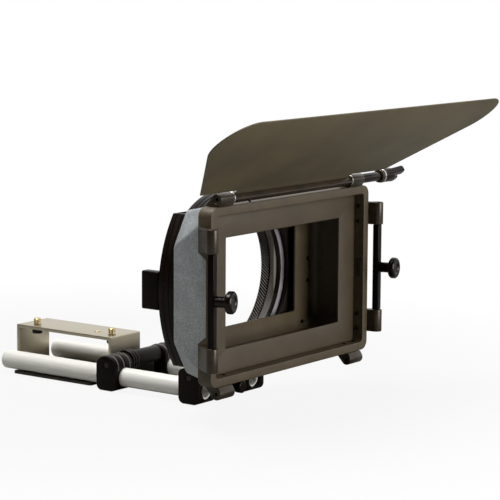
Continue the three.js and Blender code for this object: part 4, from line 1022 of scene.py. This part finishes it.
def buildWingKnob():
    size = Sizes(**wingKnob)
    hub, length, chamfer = size.hub, size.length, size.hubChamfer
    outline = [(0, size.socket), (size.bore, size.socket), (size.bore, 0), (hub, 0), (hub, length - chamfer),
               (hub - chamfer, length), (0, length)]
    shape = newTurned(outline, alongX(*topHinge, size.start), segments=64, edge=0.5)
    tip, off = size.tip - size.tipRadius, size.spread - size.tipRadius
    ear = arcOutline(size.tipRadius, -math.pi / 4, math.pi / 2 + math.atan2(off, tip), 20, x=tip, y=off)
    ear += [(hub / 2, hub), (hub / 2, 0), (length, 0)]
    c, s = math.cos(math.radians(size.lean)), math.sin(math.radians(size.lean))
    thick = size.thickness / 2
    for sign in (1, -1):
        def place(u, v, w, sign=sign):
            return (size.start + u, topHinge[0] - sign * v * s - w * c, topHinge[1] + sign * v * c - w * s)
        addSlab(shape, [ear], -thick, thick, size.edge, place, steps=4)
    dress("wing_knob", shape, "blackTurned", sharp=50)


# Support rods, with a thread inside each end at the front

rod = {"radius": 7.5, "bore": 5.5, "across": 30, "front": 59.5, "length": 205.5, "chamfer": 0.8,
       "mouth": 0.5, "threadStart": 1, "threadEnd": 14, "pitch": 1.5, "threadDepth": 0.6}


def buildRods():
    size = Sizes(**rod)
    bore, outer, chamfer = size.bore, size.radius, size.chamfer
    start, end = size.front, size.front + size.length
    thread = []
    for i in range(int(size.threadEnd / size.pitch)):
        at = start + size.threadStart + i * size.pitch
        thread += [(bore, at), (bore + size.threadDepth, at + size.pitch / 2)]
    outline = [(bore + size.mouth, start), (outer - chamfer, start), (outer, start + chamfer)]
    outline += [(outer, end - chamfer), (outer - chamfer, end), (bore, end)] + thread[::-1]
    for side, label in sides:
        shape = newTurned(outline, alongY(side * size.across, rodZ), smooth, edge=0.15, steps=2)
        dress(f"rod_{label}", shape, "rodAluminium")


# The four clamps that grip the rods, each slit above its rod; the middle ones have three raised bands, grey
# as a painted highlight

clamp = {"outer": 42, "inner": 20.5, "low": -10.2, "high": 17.1, "length": 19.8, "corner": 5,
         "middleCorner": 8.5, "edge": 0.5, "bore": 7.8, "slit": 1.5, "screwAt": 9.9, "seat": 3.0,
         "seatDepth": 2, "headRise": 0.2,
         "front": 57.4, "middle": 139.4, "bands": (38.2, 31.2, 24.2), "bandWidth": 1.1, "bandRise": 0.35,
         "bandFoot": 6, "bandEdge": 0.3}


def addBands(label, node, front, rear, side):
    size = Sizes(**clamp)
    rise, half = size.bandRise, size.bandWidth / 2
    outline = (front - rise, rear + rise, size.bandFoot, size.high + rise, size.bandEdge)
    outline = roundedOutline(*outline, steps=10, topRadius=size.middleCorner + rise)
    shape = bmesh.new()
    for across in size.bands:
        addSlab(shape, [outline], side * across - half, side * across + half, size.bandEdge, rodAcross)
    piece = toObject("clampBands" + label.capitalize(), shape)
    # The bands are grey: painted highlight for the light arcs on the black clamp
    finishPiece(piece, "collarGrey", bodyOf[node])


def buildClamps():
    size = Sizes(**clamp)
    for row, corner in (("front", size.corner), ("middle", size.middleCorner)):
        front = clamp[row]
        rear, middle = front + size.length, front + size.length / 2
        outline = roundedOutline(front, rear, size.low, size.high, size.corner, steps=10, topRadius=corner)
        screwLine = alongX(lipY + middle, rodZ + size.screwAt)
        for side, label in sides:
            node, screw = f"{row}_clamp_{label}", f"{row}_clamp_screw_{label}"
            shape = sideSlab(outline, side, size.inner, size.outer, size.edge, rodAcross)
            piece = toObject(nameOf(node), shape)
            axis = side * rod["across"]
            across = (axis - size.slit / 2, axis + size.slit / 2)
            depth, up = (lipY + front - overrun, lipY + rear + overrun), (rodZ, rodZ + size.high + overrun)
            seat = sorted((side * (size.outer + overrun), side * (size.outer - size.seatDepth)))
            bore = cutPin(size.bore, front - overrun, rear + overrun, alongY(axis, rodZ), smooth)
            sunk = cutPin(size.seat, *seat, screwLine, segments=40)
            combine(piece, [bore, cutBlock(across, depth, up), sunk])
            dress(node, piece, "blackAnodised")
            if row == "middle":
                addBands(label, node, front, rear, side)
            place = screwLine(0, 0, side * (size.outer - size.seatDepth + size.headRise))
            addScrews(nameOf(screw), [(place, (side, 0, 0))], "clamp", bodyOf[screw], [screw])


# Front bridge with a saddle under the collar, and the knob in its front face

bridge = {"front": 60, "rear": 75, "half": 20.2, "low": -8, "high": 17, "corner": 2, "edge": 0.4,
          "saddle": 18, "saddleLow": 13, "saddleRear": 71.7, "saddleTop": 30, "saddleCorner": 0.8,
          "cradle": 65.3, "cradleEnds": (40, 90)}
frontKnob = {"across": 8, "up": -2.8, "face": 52.3, "radius": 5, "chamfer": 0.8, "seat": 59.7, "skirt": 3.4,
             "shank": 2, "shankLength": 6, "ridges": 40, "ridge": 0.34, "ridgeInset": 0.25}


def buildBridge():
    size = Sizes(**bridge)
    outline = roundedOutline(size.front, size.rear, size.low, size.high, size.corner)
    piece = toObject("frontBridge", newSlab([outline], -size.half, size.half, size.edge, rodAcross))
    block = (-size.saddle, size.saddle, size.saddleLow, size.saddleTop, size.saddleCorner)
    block = roundedOutline(*block, steps=3)
    combine(piece, [newSlab([block], size.front, size.saddleRear, size.edge, alongY(0, rodZ))], "UNION")
    combine(piece, [cutPin(size.cradle, *size.cradleEnds, alongY(), fine)])
    dress("front_bridge", piece, "blackAnodised")


def buildFrontKnob():
    size = Sizes(**frontKnob)
    radius, chamfer, face, seat = size.radius, size.chamfer, size.face, size.seat
    place, end = alongY(size.across, rodZ + size.up), seat + size.shankLength
    outline = [(0, face), (radius - chamfer, face), (radius, face + chamfer), (radius, seat - 2 * chamfer)]
    outline += [(size.skirt, seat - chamfer), (size.skirt, seat), (size.shank, seat)]
    outline += [(size.shank, end), (0, end)]
    dress("front_knob", newTurned(outline, place, segments=64), "blackTurned")
    # The knurl keeps half a chamfer clear of both ends
    low, high = face + chamfer * 1.5, seat - chamfer * 2.5
    values = {"Count": size.ridges, "Radius": radius - size.ridgeInset,
              "Length": high - low, "Ridge": size.ridge}
    addKnurl("frontKnobKnurl", values, place, (low + high) / 2, "blackTurned", "clamp_knob")


# Cross tube between the middle clamps, its locking collar with three ridges, and the web under it

crossTube = {"depth": 149.3, "up": 9.6, "radius": 7.5, "half": 20.2, "edge": 0.4}
lockingCollar = {"left": -18.6, "bore": 7.8, "ring": 9.2, "sleeve": 8.3, "width": 1.8, "pitch": 2.9,
                 "count": 3, "cut": 30}
web = {"half": 9.5, "front": 142.3, "rear": 156.3, "low": -7.5, "corner": 1, "edge": 0.4}


def buildCrossTube():
    size, ring = Sizes(**crossTube), Sizes(**lockingCollar)
    place = alongX(lipY + size.depth, rodZ + size.up)
    shape = newTurned(pinOutline(size.radius, -size.half, size.half), place, smooth, size.edge)
    dress("cross_tube", shape, "blackAnodised")
    outline = []
    for i in range(ring.count):
        start = ring.left + i * ring.pitch
        end = start + ring.width
        outline += [(ring.sleeve, start), (ring.ring, start), (ring.ring, end), (ring.sleeve, end)]
    outline[0], outline[-1] = (ring.bore, outline[0][1]), (ring.bore, outline[-1][1])
    dress("locking_collar", newTurned(outline, place, smooth, edge=0.5), "blackTurned")
    size, high = Sizes(**web), size.up
    outline = roundedOutline(size.front, size.rear, size.low, high, size.corner, steps=4)
    piece = toObject("middleWeb", newSlab([outline], -size.half, size.half, size.edge, rodAcross))
    combine(piece, [cutPin(ring.bore, -ring.cut, ring.cut, place, smooth)])
    dress("middle_web", piece, "blackAnodised")


# Base plate, riser box, the camera's screws and the locating insert

basePlate = {"half": 35, "neck": 18, "front": 142.3, "shoulder": 171, "rear": 254, "low": -10.2, "high": -7.8,
             "corner": 3, "edge": 0.3, "hole": 1.6}
riser = {"half": 18.3, "front": 164, "rear": 265, "low": -7.5, "high": 27.1, "wall": 2.8, "corner": 1,
         "inner": 0.8, "edge": 0.35, "screwHole": 1.55, "cameraHole": 3.3, "cutFrom": 10,
         "insertGap": 0.3, "gap": 0.3}
riserScrews = [(-10, 187), (10, 238)]
cameraScrews = {"camera_screw_front": (-7.6, 171.9), "camera_screw_rear": (-10.4, 249.4)}
cameraScrew = {"radius": 3, "above": 5.5, "head": 4.2, "headHeight": 4, "chamfer": 0.6, "neck": 2.4,
               "neckHeight": 0.1, "tipShare": 0.78, "pitch": 1.27, "depth": 0.4, "crest": 0.7,
               "rows": 8}
insert = {"across": -4.3, "depth": 189.5, "radius": 2.5, "low": 25.5, "high": 27.5, "hole": 1.3}


def addThread(shape, low, high, place, segments):
    # A cut thread as one skin: its radius follows the turn and the height, and fades at both ends
    size = Sizes(**cameraScrew)
    rows = int((high - low) / size.pitch * size.rows)
    loops = []
    for row in range(rows + 1):
        w = low + (high - low) * row / rows
        fade = min(1.0, (high - w) / (size.pitch / 2), (w - low) / (size.pitch / 4))
        outline = []
        for i in range(segments):
            phase = (w / size.pitch - i / segments) % 1
            radius = size.radius - size.depth * fade * (1 - abs(2 * phase - 1)) ** size.crest
            angle = 2 * math.pi * i / segments
            outline.append((radius * math.cos(angle), radius * math.sin(angle)))
        loops.append((outline, w))
    return addLoops(shape, loops, place)


def buildBase():
    size = Sizes(**basePlate)
    half, neck, low, high, shoulder = size.half, size.neck, size.low, size.high, size.shoulder
    right = [(neck, size.front), (neck, shoulder), (half, shoulder), (half, size.rear)]
    corners = [(-neck, size.front)] + right + [(-x, y) for x, y in right[:0:-1]]
    outline = roundCorners(corners, size.corner, steps=6)
    piece = toObject("basePlate", newSlab([outline], low, high, size.edge, alongZ(0, 0)))
    ends = (low - overrun, high + overrun)
    combine(piece, [cutPin(size.hole, *ends, alongZ(x, y), 32) for x, y in riserScrews])
    dress("base_plate", piece, "bronzeAnodised")


def buildRiser():
    size = Sizes(**riser)
    wall, low, front, rear, top = size.wall, size.low, size.front, size.rear, size.high + overrun
    rim = roundedOutline(front, rear, low, size.high, size.corner, steps=5)
    hollow = roundedOutline(front + wall, rear - wall, low + wall, size.high - wall, size.inner, steps=5)
    shape = newSlab([rim, hollow[::-1]], -size.half, size.half, size.edge, rodAcross)
    piece = toObject("riserBox", shape)
    middle, hole = alongZ(insert["across"], insert["depth"]), insert["radius"] + size.insertGap
    cutters = [cutPin(size.screwHole, low - overrun, 0, alongZ(x, y), 32) for x, y in riserScrews]
    ends = (size.cutFrom, top)
    cutters += [cutPin(size.cameraHole, *ends, alongZ(x, y), 48) for x, y in cameraScrews.values()]
    cutters.append(cutPin(hole, *ends, middle, 48))
    combine(piece, cutters)
    dress("riser_box", piece, "riserNickel")
    for i, (x, y) in enumerate(riserScrews):
        node = f"riser_screw_{i + 1}"
        place = alongZ(x, y)(0, 0, low + wall + size.gap)
        addScrews(nameOf(node), [(place, (0, 0, 1))], "cap", bodyOf[node], [node])


def buildInsert():
    size = Sizes(**insert)
    place = alongZ(size.across, size.depth)
    outline = ringOutline(size.hole, size.radius, size.low, size.high)
    dress("locating_insert", newTurned(outline, place, segments=48), "brass")


def buildCameraScrews():
    size, count = Sizes(**cameraScrew), 48
    head, chamfer, neck = size.head, size.chamfer, size.neck
    seat = riser["high"] - riser["wall"] - riser["gap"]
    low, top = seat - size.headHeight, riser["high"] + size.above
    outline = [(0, low), (head - chamfer, low), (head, low + chamfer), (head, seat), (neck, seat),
               (neck, seat + size.neckHeight), (0, seat + size.neckHeight)]
    rim = circleOutline(size.radius, count)
    tip = [(u * size.tipShare, v * size.tipShare) for u, v in rim]
    for node, (x, y) in cameraScrews.items():
        place = alongZ(x, y)
        shape = newTurned(outline, place, count, edge=0.2)
        shape.faces.new(addThread(shape, seat, top - chamfer, place, count)[0])
        shape.faces.new(addLoops(shape, [(rim, top - chamfer), (tip, top)], place)[1])
        piece = toObject(nameOf(node), shape)
        dress(node, piece, "brass", sharp=50)
        # The head under the riser's top is given the black finish: painted shade over brass, for the dark
        # inside the riser
        neckZ = (rodZ + seat + 2 * size.neckHeight) * millimetre
        finishPart(piece, "blackTurned", lambda polygon: polygon.center.z < neckZ)


buildFrontFrame()
buildCatches()
buildMask()
print("the front is built")
buildHoodShell()
buildInnerTub()
buildDrum()
buildCollar()
buildAperture()
print("the hood and its stages are built")
buildKnuckles()
buildSideBars()
buildFlag()
buildFlagBar()
buildWingKnob()
print("the flag and the bars are built")
buildRods()
buildClamps()
buildBridge()
buildFrontKnob()
buildCrossTube()
buildBase()
buildRiser()
buildCameraScrews()
buildInsert()
print("the support is built")


# Camera at the photograph's angle

camera = {"place": (-1.2616, -1.1012, 0.3368), "azimuth": -53.62, "elevation": 8.01, "roll": 0.32,
          "lens": 149.78}


def addCamera():
    azimuth, elevation, roll = (math.radians(camera[name]) for name in ("azimuth", "elevation", "roll"))
    right = Vector((math.cos(azimuth), math.sin(azimuth), 0))
    flat = math.cos(elevation)
    back = Vector((math.sin(azimuth) * flat, -math.cos(azimuth) * flat, math.sin(elevation)))
    up = back.cross(right)
    side = right * math.cos(roll) + up * math.sin(roll)
    top = up * math.cos(roll) - right * math.sin(roll)
    turn = Matrix((side, top, back)).transposed().to_4x4()
    lens = bpy.data.cameras.new("camera")
    lens.lens = camera["lens"]
    lens.clip_end = 20
    item = bpy.data.objects.new("camera", lens)
    item.matrix_world = Matrix.Translation(camera["place"]) @ turn
    bpy.context.scene.collection.objects.link(item)
    bpy.context.scene.camera = item


# Studio: soft lamps, a room that is white on one side, and a floor that takes the shadow

lamps = {
    "topLamp": {"place": (-0.35, 0.2, 2.0), "size": (1.0, 1.0), "power": 54},
    "leftLamp": {"place": (-1.6, 0.9, 1.6), "size": (0.9, 0.9), "power": 2.5},
    "frontLamp": {"place": (0.3, -2.2, 0.5), "size": (1.1, 1.1), "power": 36},
}
studio = {"floorHeight": -0.0008, "floorReach": 6.0, "fill": 0.22, "darkSide": 0.05, "paper": 0.9,
          "shadowReach": 0.5, "aim": (0, -0.1, 0.09), "fadeFrom": -0.3, "fadeTo": 0.6}


def addLamps():
    for name, row in lamps.items():
        lamp = bpy.data.lights.new(name, "AREA")
        lamp.shape = "RECTANGLE"
        lamp.size, lamp.size_y = row["size"]
        lamp.energy = row["power"]
        item = bpy.data.objects.new(name, lamp)
        item.location = row["place"]
        aim = Vector(studio["aim"]) - Vector(row["place"])
        item.rotation_euler = aim.to_track_quat("-Z", "Y").to_euler()
        bpy.context.scene.collection.objects.link(item)


def addWorld():
    # White for the camera and through clear pieces; elsewhere bright from +X and dim from -X
    world = bpy.data.worlds.new("studio")
    bpy.context.scene.world = world
    world.use_nodes = True
    tree = world.node_tree
    tree.nodes.clear()
    path = addNode(tree, "ShaderNodeLightPath").outputs
    direction = addNode(tree, "ShaderNodeTexCoord").outputs["Generated"]
    across = addNode(tree, "ShaderNodeSeparateXYZ", {"Vector": direction}).outputs["X"]
    side = {"Value": across, "From Min": studio["fadeFrom"], "From Max": studio["fadeTo"],
            "To Min": studio["darkSide"], "To Max": 1.0}
    side = addNode(tree, "ShaderNodeMapRange", side)
    mirrored = {0: path["Is Glossy Ray"], 1: studio["fill"]}
    mirrored = addNode(tree, "ShaderNodeMath", mirrored, operation="MAXIMUM")
    lit = addNode(tree, "ShaderNodeMath", {0: side, 1: mirrored}, operation="MULTIPLY")
    seen = {0: path["Is Camera Ray"], 1: path["Is Transmission Ray"]}
    seen = addNode(tree, "ShaderNodeMath", seen, operation="MAXIMUM")
    strength = addNode(tree, "ShaderNodeMath", {0: lit, 1: seen}, operation="MAXIMUM")
    sky = addNode(tree, "ShaderNodeBackground", {"Color": toLinear("#ffffff"), "Strength": strength})
    addNode(tree, "ShaderNodeOutputWorld", {"Surface": sky})


def addFloor():
    # White sweep paper: the lens sees it white away from the object and softly shaded under it
    material, tree, shader, where = startMaterial("white sweep paper", 0.9)
    shader.inputs["Base Color"].default_value = toLinear("#8f8f8c")
    bump = {"Height": addGrain(tree, where, 4), "Distance": 0.05 * millimetre, "Strength": 1.0}
    bump = addNode(tree, "ShaderNodeBump", bump)
    tree.links.new(bump.outputs["Normal"], shader.inputs["Normal"])
    far = addNode(tree, "ShaderNodeVectorMath", {"Vector": where}, operation="LENGTH").outputs["Value"]
    reach = studio["shadowReach"]
    paper = {"Value": far, "From Min": reach / 2, "From Max": reach, "To Min": studio["paper"], "To Max": 1.0}
    paper = addNode(tree, "ShaderNodeMapRange", paper)
    seen = addNode(tree, "ShaderNodeLightPath").outputs["Is Camera Ray"]
    share = addNode(tree, "ShaderNodeMath", {0: paper, 1: seen}, operation="MULTIPLY")
    white = addNode(tree, "ShaderNodeEmission", {"Color": toLinear("#ffffff"), "Strength": 1.0})
    mix = addNode(tree, "ShaderNodeMixShader", {"Fac": share, 1: shader, 2: white})
    output = next(node for node in tree.nodes if node.type == "OUTPUT_MATERIAL")
    tree.links.new(mix.outputs["Shader"], output.inputs["Surface"])
    height, reach = studio["floorHeight"], studio["floorReach"]
    corners = [(x * reach, y * reach, height) for x, y in ((-1, -1), (1, -1), (1, 1), (-1, 1))]
    mesh = bpy.data.meshes.new("floor")
    mesh.from_pydata(corners, [], [(0, 1, 2, 3)])
    floor = toObject("floor", mesh)
    floor.data.materials.append(material)


addCamera()
addLamps()
addWorld()
addFloor()
bpy.context.scene.view_settings.view_transform = "Standard"

print("the studio is ready")
